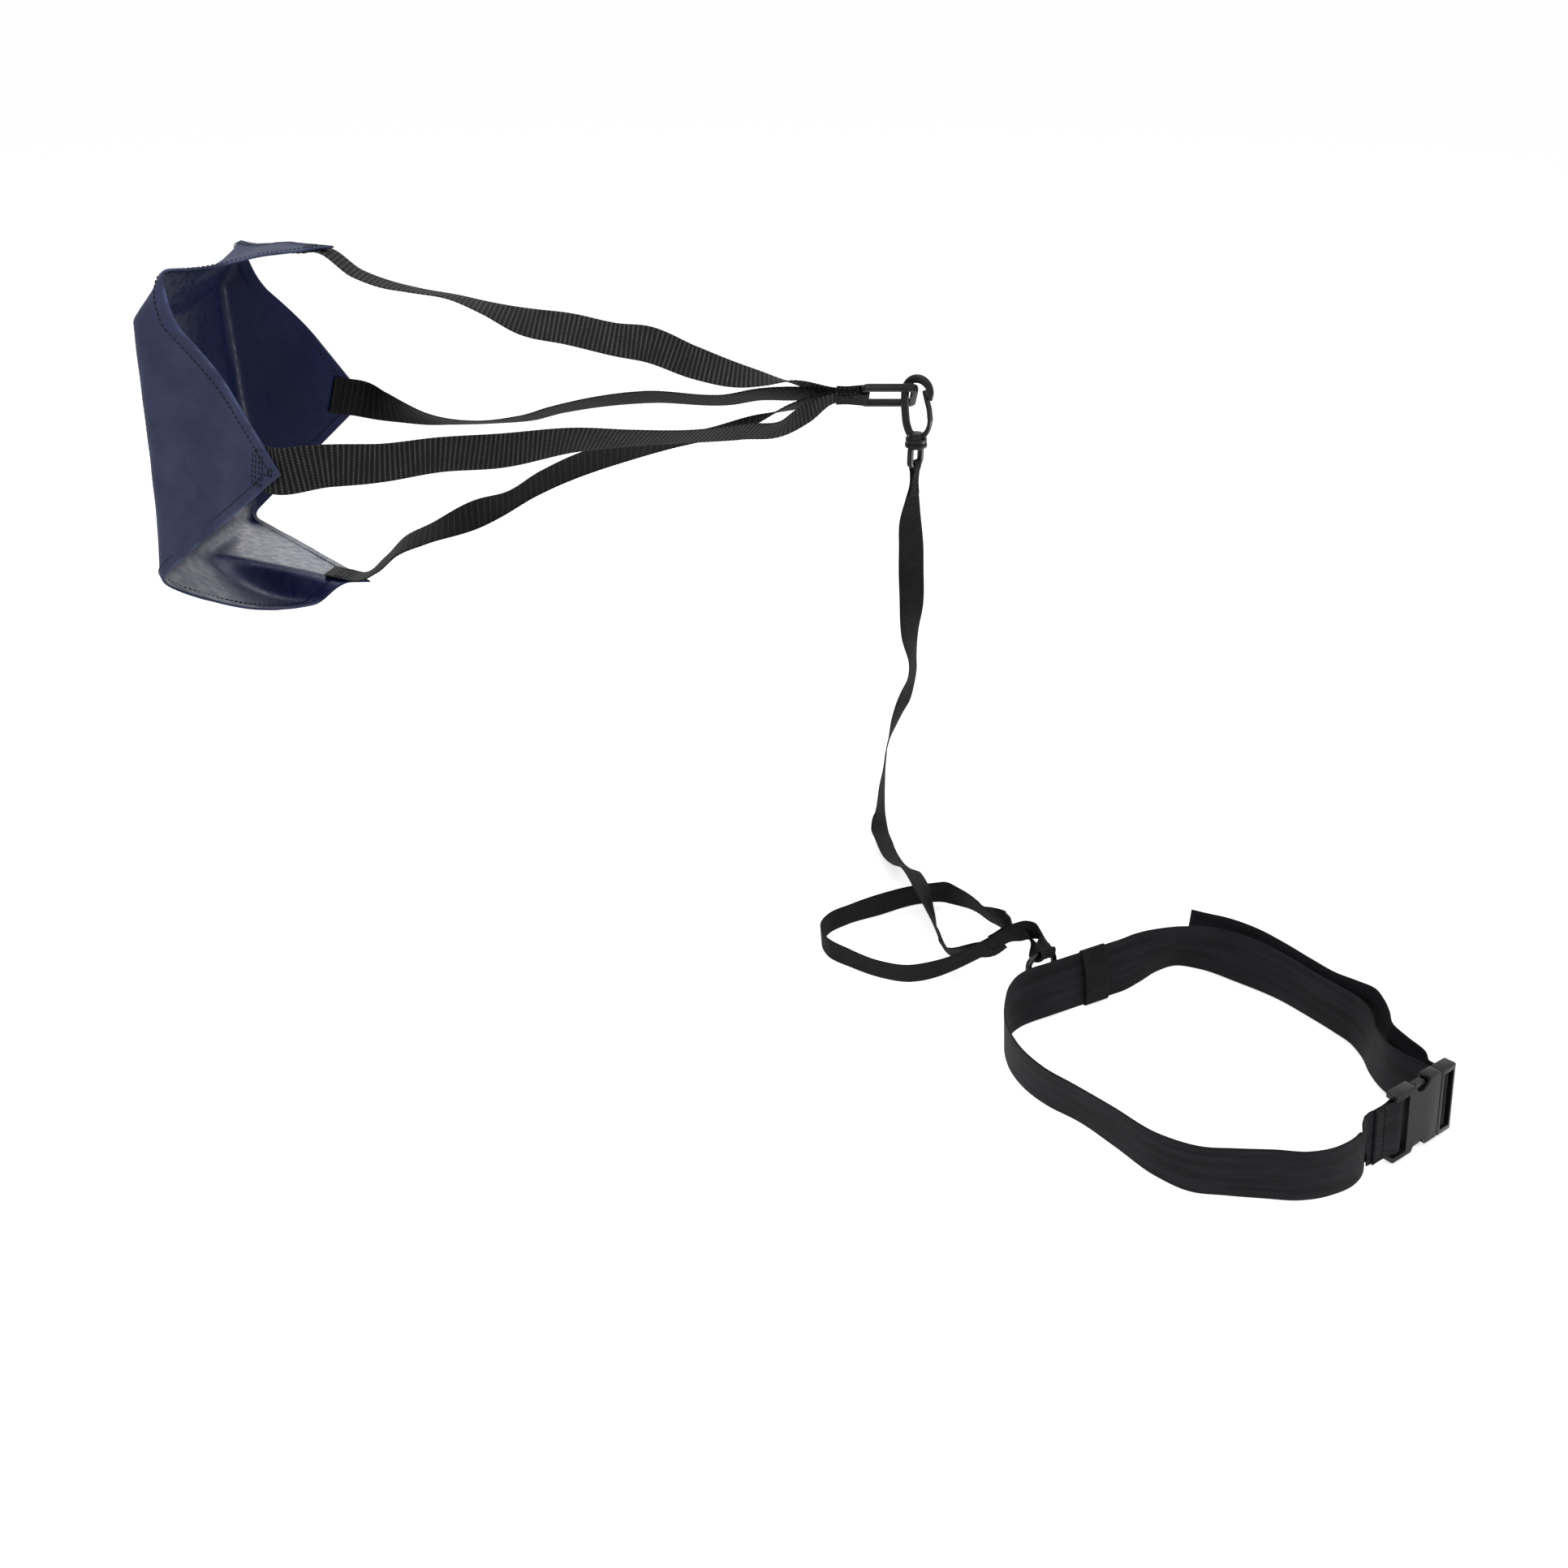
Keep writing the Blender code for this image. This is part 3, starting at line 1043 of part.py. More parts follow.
make_canopy()
for riser in ("front", "top", "back", "bottom"):
    make_riser(riser)
make_ring()
make_ring_loop()
make_hook()
make_gate()
make_swivel_eye()
make_tether()
make_hand_loop()
make_d_ring()
make_tab()
make_keeper()
make_belt()
make_socket()
make_plug()
make_prong("prong_upper", 1)
make_prong("prong_lower", -1)
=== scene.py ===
# Looks for the swim parachute: camera, light, cloth, webbing, thread and moulded plastic.
import math

import bmesh
import bpy
import numpy as np
from mathutils import Matrix, Vector, noise


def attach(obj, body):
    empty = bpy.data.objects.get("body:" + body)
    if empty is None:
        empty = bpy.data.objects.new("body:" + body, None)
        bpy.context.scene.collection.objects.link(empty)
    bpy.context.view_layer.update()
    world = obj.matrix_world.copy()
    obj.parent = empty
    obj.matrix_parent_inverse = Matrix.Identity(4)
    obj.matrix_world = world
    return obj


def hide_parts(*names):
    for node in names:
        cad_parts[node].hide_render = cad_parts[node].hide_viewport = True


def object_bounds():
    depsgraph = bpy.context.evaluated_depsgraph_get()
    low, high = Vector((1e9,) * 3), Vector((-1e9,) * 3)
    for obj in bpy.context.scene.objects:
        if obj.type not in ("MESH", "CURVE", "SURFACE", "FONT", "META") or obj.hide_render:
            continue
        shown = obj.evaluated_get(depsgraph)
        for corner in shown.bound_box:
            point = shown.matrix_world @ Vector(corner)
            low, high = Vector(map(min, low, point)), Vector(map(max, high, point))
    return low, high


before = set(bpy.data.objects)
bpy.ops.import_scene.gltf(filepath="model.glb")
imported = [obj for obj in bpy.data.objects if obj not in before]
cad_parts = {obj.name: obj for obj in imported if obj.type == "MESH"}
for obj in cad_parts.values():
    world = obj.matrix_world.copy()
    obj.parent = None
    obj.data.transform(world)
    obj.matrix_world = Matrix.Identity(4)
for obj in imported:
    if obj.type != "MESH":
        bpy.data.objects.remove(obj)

cadLow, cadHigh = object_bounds()
mm = 0.001
up = Vector((0, 0, 1))
print("frame loaded")


def addObject(name, data):
    made = bpy.data.objects.new(name, data)
    bpy.context.scene.collection.objects.link(made)
    return made


# Camera, where the photograph was taken from
cameraSettings = {"place": (-0.345, -0.925, 0.830), "lookDown": 30.8, "lens": 33.54, "sensor": 36}


def addCamera(settings):
    data = bpy.data.cameras.new("camera")
    data.lens = settings["lens"]
    data.sensor_width = settings["sensor"]
    camera = addObject("camera", data)
    camera.location = settings["place"]
    camera.rotation_euler = (math.radians(90 - settings["lookDown"]), 0, 0)
    bpy.context.scene.camera = camera


addCamera(cameraSettings)

# Places and paths


def axes(origin, x, y, z):
    return Matrix((
        (x.x, y.x, z.x, origin.x),
        (x.y, y.y, z.y, origin.y),
        (x.z, y.z, z.z, origin.z),
        (0, 0, 0, 1),
    ))


def heading(angle):
    return Vector((math.cos(angle), math.sin(angle), 0))


def aim(azimuth, elevation):
    azimuth, elevation = math.radians(azimuth), math.radians(elevation)
    flat = math.cos(elevation)
    return Vector((flat * math.cos(azimuth), flat * math.sin(azimuth), math.sin(elevation)))


def ease(x):
    x = min(max(x, 0.0), 1.0)
    return x * x * (3 - 2 * x)


def smoothLine(stations, step):
    values = [np.array(one) for one in stations]
    spans = [max(math.dist(a[0:3], b[0:3]), 0.01 * mm) for a, b in zip(values, values[1:])]
    rates = [(b - a) / span for a, b, span in zip(values, values[1:], spans)]
    slopes = [rates[0]]
    for before, after, spanBefore, spanAfter in zip(rates, rates[1:], spans, spans[1:]):
        slopes.append((before * spanAfter + after * spanBefore) / (spanBefore + spanAfter))
    slopes.append(rates[-1])
    line = [values[0]]
    for number, span in enumerate(spans):
        count = max(1, round(span / step))
        for part in range(1, count + 1):
            t = part / count
            line.append(
                values[number] * (1 + 2 * t) * (1 - t) ** 2
                + values[number + 1] * t * t * (3 - 2 * t)
                + slopes[number] * span * t * (1 - t) ** 2
                - slopes[number + 1] * span * t * t * (1 - t)
            )
    return line


def neighbours(line):
    return zip([line[0], *line[:-1]], line, [*line[1:], line[-1]])


def strapFrames(line):
    frames = []
    for before, here, after in neighbours(line):
        along = (Vector(after[0:3]) - Vector(before[0:3])).normalized()
        across = Vector(here[3:6])
        across = (across - along * across.dot(along)).normalized()
        frames.append(axes(Vector(here[0:3]), across * here[6], along.cross(across), along))
    return frames


def station(place, across, width):
    return (*place, *across, width)


def onEdge(points, width):
    made = []
    for before, (x, y, z, lean), after in neighbours(points):
        along = Vector((after[0] - before[0], after[1] - before[1], 0)).normalized()
        lean = math.radians(lean)
        rise = up * math.cos(lean) + up.cross(along) * math.sin(lean)
        made.append(station(Vector((x, y, z)) * mm + rise * width / 2, rise, width))
    return made


def swept(run, width):
    return [
        station(Vector((x, y, z)) * mm, aim(azimuth, elevation), width * size)
        for x, y, z, azimuth, elevation, size in run
    ]


def arc(start, turn, steps=6):
    angles = [math.radians(start + turn * step / steps) for step in range(steps + 1)]
    return [(math.cos(angle), math.sin(angle)) for angle in angles]


# Materials


def opaque(colour):
    return (*colour, 1)


def newMaterial(name, colour, roughness, specular):
    look = bpy.data.materials.new(name)
    look.use_nodes = True
    look.diffuse_color = opaque(colour)
    shader = look.node_tree.nodes["Principled BSDF"]
    shader.inputs["Base Color"].default_value = opaque(colour)
    shader.inputs["Roughness"].default_value = roughness
    shader.inputs["Specular IOR Level"].default_value = specular
    return look


def addNode(look, kind, inputs=None, **settings):
    made = look.node_tree.nodes.new(kind)
    for key, value in settings.items():
        setattr(made, key, value)
    for socket, value in (inputs or {}).items():
        if isinstance(value, bpy.types.NodeSocket):
            look.node_tree.links.new(value, made.inputs[socket])
        else:
            made.inputs[socket].default_value = value
    return made


def calc(look, operation, a, b=0.0, c=0.0):
    return addNode(look, "ShaderNodeMath", {0: a, 1: b, 2: c}, operation=operation).outputs[0]


def mixColour(look, share, a, b):
    a, b = (one if isinstance(one, bpy.types.NodeSocket) else opaque(one) for one in (a, b))
    return addNode(look, "ShaderNodeMix", {0: share, 6: a, 7: b}, data_type="RGBA").outputs[2]


def rampBetween(look, value, low, high, to=(0.0, 1.0)):
    inputs = {0: value, 1: low, 2: high, 3: to[0], 4: to[1]}
    return addNode(look, "ShaderNodeMapRange", inputs, interpolation_type="SMOOTHSTEP").outputs[0]


def patchy(look, value, low, high, settings):
    return mixColour(look, rampBetween(look, value, low, high), settings["dark"], settings["light"])


def noiseAt(look, place, scale, detail=3.0, roughness=0.5):
    inputs = {"Vector": place, "Scale": scale, "Detail": detail, "Roughness": roughness}
    return addNode(look, "ShaderNodeTexNoise", inputs).outputs[0]


def stretchedNoise(look, place, stretch, detail=2.0):
    made = addNode(look, "ShaderNodeVectorMath", {0: place, 1: stretch}, operation="MULTIPLY")
    return noiseAt(look, made.outputs[0], 1.0, detail)


def objectPlace(look):
    return addNode(look, "ShaderNodeTexCoord").outputs["Object"]


def weavePlace(look):
    made = addNode(look, "ShaderNodeUVMap", uv_map="weave")
    split = addNode(look, "ShaderNodeSeparateXYZ", {0: made.outputs[0]})
    return made.outputs[0], split.outputs[0], split.outputs[1]


def setSurface(look, colour, height, depth, strength, roughness=None):
    shader = look.node_tree.nodes["Principled BSDF"]
    look.node_tree.links.new(colour, shader.inputs["Base Color"])
    if roughness is not None:
        look.node_tree.links.new(roughness, shader.inputs["Roughness"])
    bump = addNode(look, "ShaderNodeBump", {"Height": height, "Distance": depth, "Strength": strength})
    look.node_tree.links.new(bump.outputs[0], shader.inputs["Normal"])
    return look


def wave(look, value, pitch, shift=0.0):
    turns = calc(look, "MULTIPLY_ADD", value, 2 * math.pi / pitch, shift)
    return calc(look, "MULTIPLY_ADD", calc(look, "SINE", turns), 0.5, 0.5)


# Webbing: dark is the weave's own colour, light is a painted sheen on the rib crests.
webbingLooks = {
    "riserWebbing": {
        "dark": (0.0065, 0.0065, 0.007), "light": (0.115, 0.113, 0.115), "rib": 4.1 * mm, "dot": 2.5 * mm,
        "sharpness": 4.0, "dotShare": 0.75, "depth": 0.35 * mm,
    },
    # A darker copy of the riser webbing for the back and bottom risers: painted shade.
    "shadedRiserWebbing": {
        "dark": (0.0035, 0.0035, 0.004), "light": (0.035, 0.035, 0.036), "rib": 6.3 * mm, "dot": 2.5 * mm,
        "sharpness": 12.0, "dotShare": 0.6, "depth": 0.2 * mm,
    },
    "tetherWebbing": {
        "dark": (0.002, 0.002, 0.0024), "light": (0.03, 0.03, 0.032), "rib": 2.3 * mm, "dot": 1.5 * mm,
        "sharpness": 1.6, "dotShare": 0.35, "depth": 0.3 * mm,
    },
    "bandWebbing": {
        "dark": (0.0022, 0.0022, 0.0026), "light": (0.03, 0.03, 0.032), "rib": 2.0 * mm, "dot": 1.3 * mm,
        "sharpness": 1.4, "dotShare": 0.3, "depth": 0.3 * mm,
    },
}


def webbingMaterial(name):
    settings = webbingLooks[name]
    look = newMaterial(name, settings["dark"], 0.75, 0.1)
    place, across, along = weavePlace(look)
    rib = wave(look, along, settings["rib"])
    row = calc(look, "FLOOR", calc(look, "DIVIDE", along, settings["rib"]))
    dot = wave(look, across, settings["dot"], calc(look, "MULTIPLY", row, math.pi))
    # Painted sheen: the rib crests are coloured lighter, as if catching the light.
    tops = calc(look, "POWER", rib, settings["sharpness"])
    dotted = calc(look, "MULTIPLY_ADD", dot, settings["dotShare"], 1 - settings["dotShare"])
    patches = rampBetween(look, noiseAt(look, place, 55.0), 0.3, 0.7, (0.55, 1.0))
    paintedCrestSheen = calc(look, "MULTIPLY", calc(look, "MULTIPLY", tops, dotted), patches)
    fibre = stretchedNoise(look, place, (900.0, 2600.0, 1.0))
    colour = mixColour(look, paintedCrestSheen, settings["dark"], settings["light"])
    roughness = rampBetween(look, fibre, 0.3, 0.7, (0.62, 0.86))
    height = calc(look, "MULTIPLY_ADD", dot, 0.35, calc(look, "MULTIPLY_ADD", fibre, 0.25, rib))
    return setSurface(look, colour, height, settings["depth"], 0.8, roughness)


beltLook = {
    "middle": (0.0115, 0.0115, 0.0135), "dark": (0.0072, 0.0072, 0.0085), "light": (0.0174, 0.0172, 0.0204),
    "streaks": (160.0, 7.0, 1.0), "patches": (40.0, 18.0, 1.0), "fuzz": (1500.0, 1500.0, 1.0),
    "twill": 0.9 * mm, "threads": 1.1 * mm, "depth": 0.12 * mm,
}


def beltMaterial(settings):
    look = newMaterial("beltWebbing", settings["middle"], 0.7, 0.1)
    place, across, along = weavePlace(look)
    streaks = stretchedNoise(look, place, settings["streaks"], 4.0)
    patches = stretchedNoise(look, place, settings["patches"], 3.0)
    both = calc(look, "MULTIPLY_ADD", streaks, 0.6, calc(look, "MULTIPLY", patches, 0.4))
    twill = wave(look, calc(look, "MULTIPLY_ADD", across, 0.7, along), settings["twill"])
    height = calc(look, "MULTIPLY_ADD", twill, 0.5, wave(look, across, settings["threads"]))
    roughness = rampBetween(look, stretchedNoise(look, place, settings["fuzz"]), 0.3, 0.7, (0.58, 0.8))
    colour = patchy(look, both, 0.36, 0.64, settings)
    return setSurface(look, colour, height, settings["depth"], 0.6, roughness)


# Outside cloth: the paler band along the cloth's edges is partly wear and partly a painted highlight on the
# hem edge.
outsideLook = {
    "middle": (0.033, 0.039, 0.081), "dark": (0.0255, 0.0305, 0.069), "light": (0.041, 0.047, 0.096),
    "speck": (0.072, 0.08, 0.14), "edgeWearAndSheenColour": (0.10, 0.125, 0.25), "grain": (1300.0, 1300.0, 1.0),
    "thread": 0.9 * mm, "edgeWearAndSheenReach": 3.0 * mm, "depth": 0.12 * mm,
}


def outsideCloth(settings):
    look = newMaterial("navyOutside", settings["middle"], 0.62, 0.12)
    place, across, along = weavePlace(look)
    edges = []
    for one in (across, along):
        edges.append(calc(look, "MINIMUM", one, calc(look, "SUBTRACT", canopySettings["side"], one)))
    nearEdge = rampBetween(look, calc(look, "MINIMUM", *edges), settings["edgeWearAndSheenReach"], 0.0)
    cloudy = noiseAt(look, place, 22.0, 5.0, 0.6)
    grain = stretchedNoise(look, place, settings["grain"])
    body = patchy(look, cloudy, 0.35, 0.68, settings)
    speckled = mixColour(look, rampBetween(look, grain, 0.45, 0.75, (0.0, 0.35)), body, settings["speck"])
    # Painted highlight with wear: the cloth's edges are coloured paler in a cloudy band.
    edgeWearAndSheenMask = calc(look, "MULTIPLY", nearEdge, rampBetween(look, cloudy, 0.4, 0.62))
    colour = mixColour(look, calc(look, "MULTIPLY", edgeWearAndSheenMask, 0.55), speckled, settings["edgeWearAndSheenColour"])
    weave = calc(look, "MULTIPLY", *(wave(look, one, settings["thread"]) for one in (across, along)))
    height = calc(look, "ADD", weave, calc(look, "MULTIPLY", cloudy, 4.0))
    roughness = rampBetween(look, grain, 0.3, 0.7, (0.5, 0.72))
    return setSurface(look, colour, height, settings["depth"], 0.7, roughness)


insideLook = {
    "middle": (0.006, 0.01, 0.046), "dark": (0.0045, 0.0085, 0.044), "light": (0.0082, 0.0125, 0.06),
    "creases": (26.0, 9.0, 1.0), "depth": 0.6 * mm,
}


def insideCloth(settings):
    look = newMaterial("navyInside", settings["middle"], 0.3, 0.12)
    place = weavePlace(look)[0]
    body = patchy(look, noiseAt(look, place, 14.0, 4.0, 0.55), 0.35, 0.7, settings)
    fine = noiseAt(look, place, 120.0)
    creases = stretchedNoise(look, place, settings["creases"])
    height = calc(look, "MULTIPLY_ADD", creases, 2.4, calc(look, "MULTIPLY", fine, 0.01))
    roughness = rampBetween(look, fine, 0.3, 0.7, (0.26, 0.4))
    return setSurface(look, body, height, settings["depth"], 0.5, roughness)


threadLook = {"middle": (0.008, 0.008, 0.009), "dark": (0.004, 0.004, 0.005), "light": (0.016, 0.016, 0.017)}


def threadMaterial(settings):
    look = newMaterial("sewingThread", settings["middle"], 0.7, 0.1)
    strands = noiseAt(look, objectPlace(look), 2600.0, 2.0)
    colour = mixColour(look, strands, settings["dark"], settings["light"])
    return setSurface(look, colour, strands, 0.1 * mm, 0.6)


plasticLooks = {
    "hardwarePlastic": {
        "colour": (0.006, 0.006, 0.0067), "roughness": 0.36, "specular": 0.2, "grain": 1400.0,
        "depth": 0.05 * mm,
    },
    "glossyPlastic": {
        "colour": (0.0035, 0.0035, 0.004), "roughness": 0.22, "specular": 0.35, "grain": 900.0,
        "depth": 0.02 * mm,
    },
    "bucklePlastic": {
        "colour": (0.0075, 0.0072, 0.008), "roughness": 0.3, "specular": 0.3, "grain": 1300.0,
        "depth": 0.04 * mm,
    },
    "bucklePlate": {
        "colour": (0.0165, 0.0158, 0.0185), "roughness": 0.42, "specular": 0.1, "grain": 1600.0,
        "depth": 0.05 * mm,
    },
}


def plasticMaterial(name):
    settings = plasticLooks[name]
    look = newMaterial(name, settings["colour"], settings["roughness"], settings["specular"])
    place = objectPlace(look)
    dark, light, scuffed = (tuple(value * share for value in settings["colour"]) for share in (0.8, 1.3, 2.2))
    flow = noiseAt(look, place, 45.0)
    grain = noiseAt(look, place, settings["grain"], 2.0)
    scuffs = rampBetween(look, stretchedNoise(look, place, (220.0, 90.0, 400.0), 4.0), 0.62, 0.78)
    body = mixColour(look, rampBetween(look, flow, 0.3, 0.7), dark, light)
    colour = mixColour(look, calc(look, "MULTIPLY", scuffs, 0.35), body, scuffed)
    mottled = calc(look, "MULTIPLY_ADD", grain, 0.5, calc(look, "MULTIPLY", flow, 0.5))
    reach = (settings["roughness"] - 0.07, settings["roughness"] + 0.09)
    return setSurface(
        look, colour, grain, settings["depth"], 0.5, rampBetween(look, mottled, 0.3, 0.7, reach)
    )


# Canopy. Shares of its side, from its centre: fold ends and corners
canopySettings = {
    "side": 400 * mm, "thickness": 0.8 * mm, "hem": 10 * mm, "hemThickness": 2.0 * mm,
    "centre": Vector((-869, 385, 447)) * mm, "softness": 0.08, "bulge": 24 * mm,
    "topSag": 13 * mm, "bottomSag": 27 * mm, "cells": 96,
    "foldEnds": {
        "frontTop": (0.100, -0.348, 0.369), "backTop": (0.016, 0.348, 0.299),
        "backBottom": (-0.075, 0.348, -0.388), "frontBottom": (-0.042, -0.348, -0.281),
    },
    "tips": {
        "front": (0.326, -0.512, 0.014), "top": (0.346, 0.000, 0.344),
        "back": (0.209, 0.550, -0.141), "bottom": (0.319, -0.020, -0.418),
    },
    "flaps": {
        "front": ("frontBottom", "frontTop"), "top": ("frontTop", "backTop"),
        "back": ("backTop", "backBottom"), "bottom": ("backBottom", "frontBottom"),
    },
    "ripple": 1.3 * mm, "pucker": 0.28, "fade": 0.6,
    "border": (0, 0.5, 2.5, 5, 7.5, 9, 10, 10.9), "edgeThin": 0.62,
    "stillReach": 48 * mm, "freeReach": 50 * mm,
}

riserWebbing, shadedRiserWebbing, tetherWebbing, bandWebbing = (webbingMaterial(name) for name in webbingLooks)
navyOutside = outsideCloth(outsideLook)
navyInside = insideCloth(insideLook)
beltWebbing = beltMaterial(beltLook)
sewingThread = threadMaterial(threadLook)
hardwarePlastic, glossyPlastic, bucklePlastic, platePlastic = (plasticMaterial(name) for name in plasticLooks)
print("materials made")


def onCanopy(share):
    return canopySettings["centre"] + Vector(share) * canopySettings["side"]


foldEnds = {name: onCanopy(share) for name, share in canopySettings["foldEnds"].items()}
tips = {name: onCanopy(share) for name, share in canopySettings["tips"].items()}
foldMiddles = {name: (foldEnds[a] + foldEnds[b]) / 2 for name, (a, b) in canopySettings["flaps"].items()}
canopyInside = sum(tips.values(), canopySettings["centre"] * 2) / 6


def rampUp(x, soft):
    if x <= -soft:
        return 0.0
    if x >= soft:
        return x
    return (x + soft) ** 2 / (4 * soft)


def canopyPoint(u, v):
    soft = canopySettings["softness"]
    p, q = 2 * (u + v - 1), 2 * (v - u)
    past = {
        "front": rampUp(-1 - p, soft), "back": rampUp(p - 1, soft),
        "top": rampUp(q - 1, soft), "bottom": rampUp(-1 - q, soft),
    }
    pBase, qBase = p + past["front"] - past["back"], q + past["bottom"] - past["top"]
    place = (
        foldEnds["frontTop"] * (1 - pBase) * (1 + qBase)
        + foldEnds["backTop"] * (1 + pBase) * (1 + qBase)
        + foldEnds["backBottom"] * (1 + pBase) * (1 - qBase)
        + foldEnds["frontBottom"] * (1 - pBase) * (1 - qBase)
    ) / 4
    for name, amount in past.items():
        place = place + (tips[name] - foldMiddles[name]) * amount
    fade = canopySettings["fade"]
    onBase = 1 - ease(sum(past.values()) / fade)
    high = min((1 - qBase) / 0.3, (1 + qBase) / 1.7)
    bulge = canopySettings["bulge"] * ease(high * 0.75) * onBase
    topSag = canopySettings["topSag"] * (1 - pBase ** 2) * ease(qBase) * ease(1 - past["top"] / fade)
    along = past["bottom"]
    bottomSag = canopySettings["bottomSag"] * 4 * along * (1 - along) * ease((-pBase - 0.08) / 0.22)
    return place - Vector((bulge, 0, topSag + bottomSag))


def canopyFrame(u, v):
    small = 0.004
    place = canopyPoint(u, v)
    x = (canopyPoint(u + small, v) - canopyPoint(u - small, v)).normalized()
    y = (canopyPoint(u, v + small) - canopyPoint(u, v - small)).normalized()
    z = x.cross(y).normalized()
    if z.dot(canopyInside - place) < 0:
        z = -z
    return axes(place, x, y, z)


def cornerFrame(name):
    tip = tips[name]
    out = (tip - foldMiddles[name]).normalized()
    first, last = (foldEnds[end] for end in canopySettings["flaps"][name])
    across = last - first
    across = (across - out * across.dot(out)).normalized()
    inward = across.cross(out)
    if inward.dot(canopyInside - tip) < 0:
        across, inward = -across, -inward
    return axes(tip, across, out, inward)


# Straps
strapGrid = {
    "columns": (-0.5, -0.488, -0.45, -0.25, 0.0, 0.25, 0.45, 0.488, 0.5),
    "edges": (0.4, 0.8, 1.0, 1.0, 1.0, 1.0, 1.0, 0.8, 0.4),
    "rowsPerRib": 4,
}
narrowStrap = {
    "look": tetherWebbing, "body": "belt", "slot": "webbing", "width": 25 * mm, "thickness": 1.3 * mm,
    "rib": 2.3 * mm, "ribDepth": 0.35, "closed": False,
}


def finishMesh(bm, name, look, body, slot, nodes=(), smooth=40, turned=False):
    if not turned:
        bmesh.ops.recalc_face_normals(bm, faces=bm.faces)
    mesh = bpy.data.meshes.new(name)
    bm.to_mesh(mesh)
    bm.free()
    mesh.materials.append(look)
    mesh.shade_smooth()
    mesh.set_sharp_from_angle(angle=math.radians(smooth))
    piece = addObject(name, mesh)
    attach(piece, body)
    if nodes:
        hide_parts(*nodes)
    return piece


def addModifier(piece, name, kind, **settings):
    made = piece.modifiers.new(name, kind)
    for key, value in settings.items():
        setattr(made, key, value)
    return made


def weaveGrid(across, along):
    cells, rows = len(across) - 1, len(along) - 1
    bm = bmesh.new()
    bmesh.ops.create_grid(bm, x_segments=cells, y_segments=rows, size=0.5)
    weave = bm.loops.layers.uv.new("weave")
    weights = bm.verts.layers.deform.verify()
    places = {}
    for vertex in bm.verts:
        places[vertex] = (round((vertex.co.x + 0.5) * cells), round((vertex.co.y + 0.5) * rows))
    for face in bm.faces:
        for loop in face.loops:
            column, row = places[loop.vert]
            loop[weave].uv = (across[column], along[row])
    return bm, weights, places


def layStrap(name, node, stations, **changed):
    settings = {**narrowStrap, **changed}
    columns, rib = strapGrid["columns"], settings["rib"]
    frames = strapFrames(smoothLine(stations, rib / strapGrid["rowsPerRib"]))
    lengths = [0.0]
    for before, after in zip(frames, frames[1:]):
        lengths.append(lengths[-1] + (after.translation - before.translation).length)
    bm, weights, places = weaveGrid([column * settings["width"] for column in columns], lengths)
    for vertex, (column, row) in places.items():
        crest = 0.5 - 0.5 * math.cos(2 * math.pi * lengths[row] / rib)
        vertex[weights][0] = strapGrid["edges"][column] * (1 - settings["ribDepth"] * crest)
        vertex.co = frames[row] @ Vector((columns[column], 0, 0))
    if settings["closed"]:
        bmesh.ops.remove_doubles(bm, verts=bm.verts, dist=0.01 * mm)
    piece = finishMesh(bm, name, settings["look"], settings["body"], settings["slot"], [node])
    piece.vertex_groups.new(name="thickness")
    addModifier(
        piece, "webbing", "SOLIDIFY", thickness=settings["thickness"], offset=0.0,
        vertex_group="thickness", use_even_offset=False,
    )
    return piece, [place.translation.copy() for place in frames]


def lengthOf(points):
    return sum((b - a).length for a, b in zip(points, points[1:]))


# Ring, in its own frame: X along it, Y across it, Z through it
ringSettings = {
    "length": 52 * mm, "width": 39 * mm, "bar": 7 * mm, "corner": 7 * mm,
    "centre": Vector((-250, 393, 454.5)) * mm, "tilt": math.radians(50),
    "squareness": 3.3, "drawnShare": 0.93,
}
gatherSettings = {"mouth": 34 * mm, "length": 25 * mm, "width": 23 * mm, "neck": 19 * mm}
ringAcross = Vector((0, -math.sin(ringSettings["tilt"]), math.cos(ringSettings["tilt"])))
ringFrame = axes(ringSettings["centre"], Vector((1, 0, 0)), ringAcross, Vector((1, 0, 0)).cross(ringAcross))
ringBarX = -ringSettings["length"] / 2 + ringSettings["bar"] / 2
gatherWidths = [
    (gatherSettings["length"], gatherSettings["neck"] + 1.5 * mm),
    (gatherSettings["length"] * 0.65, gatherSettings["neck"]),
    (ringSettings["bar"] / 2 + 1.5 * mm, gatherSettings["width"]),
]

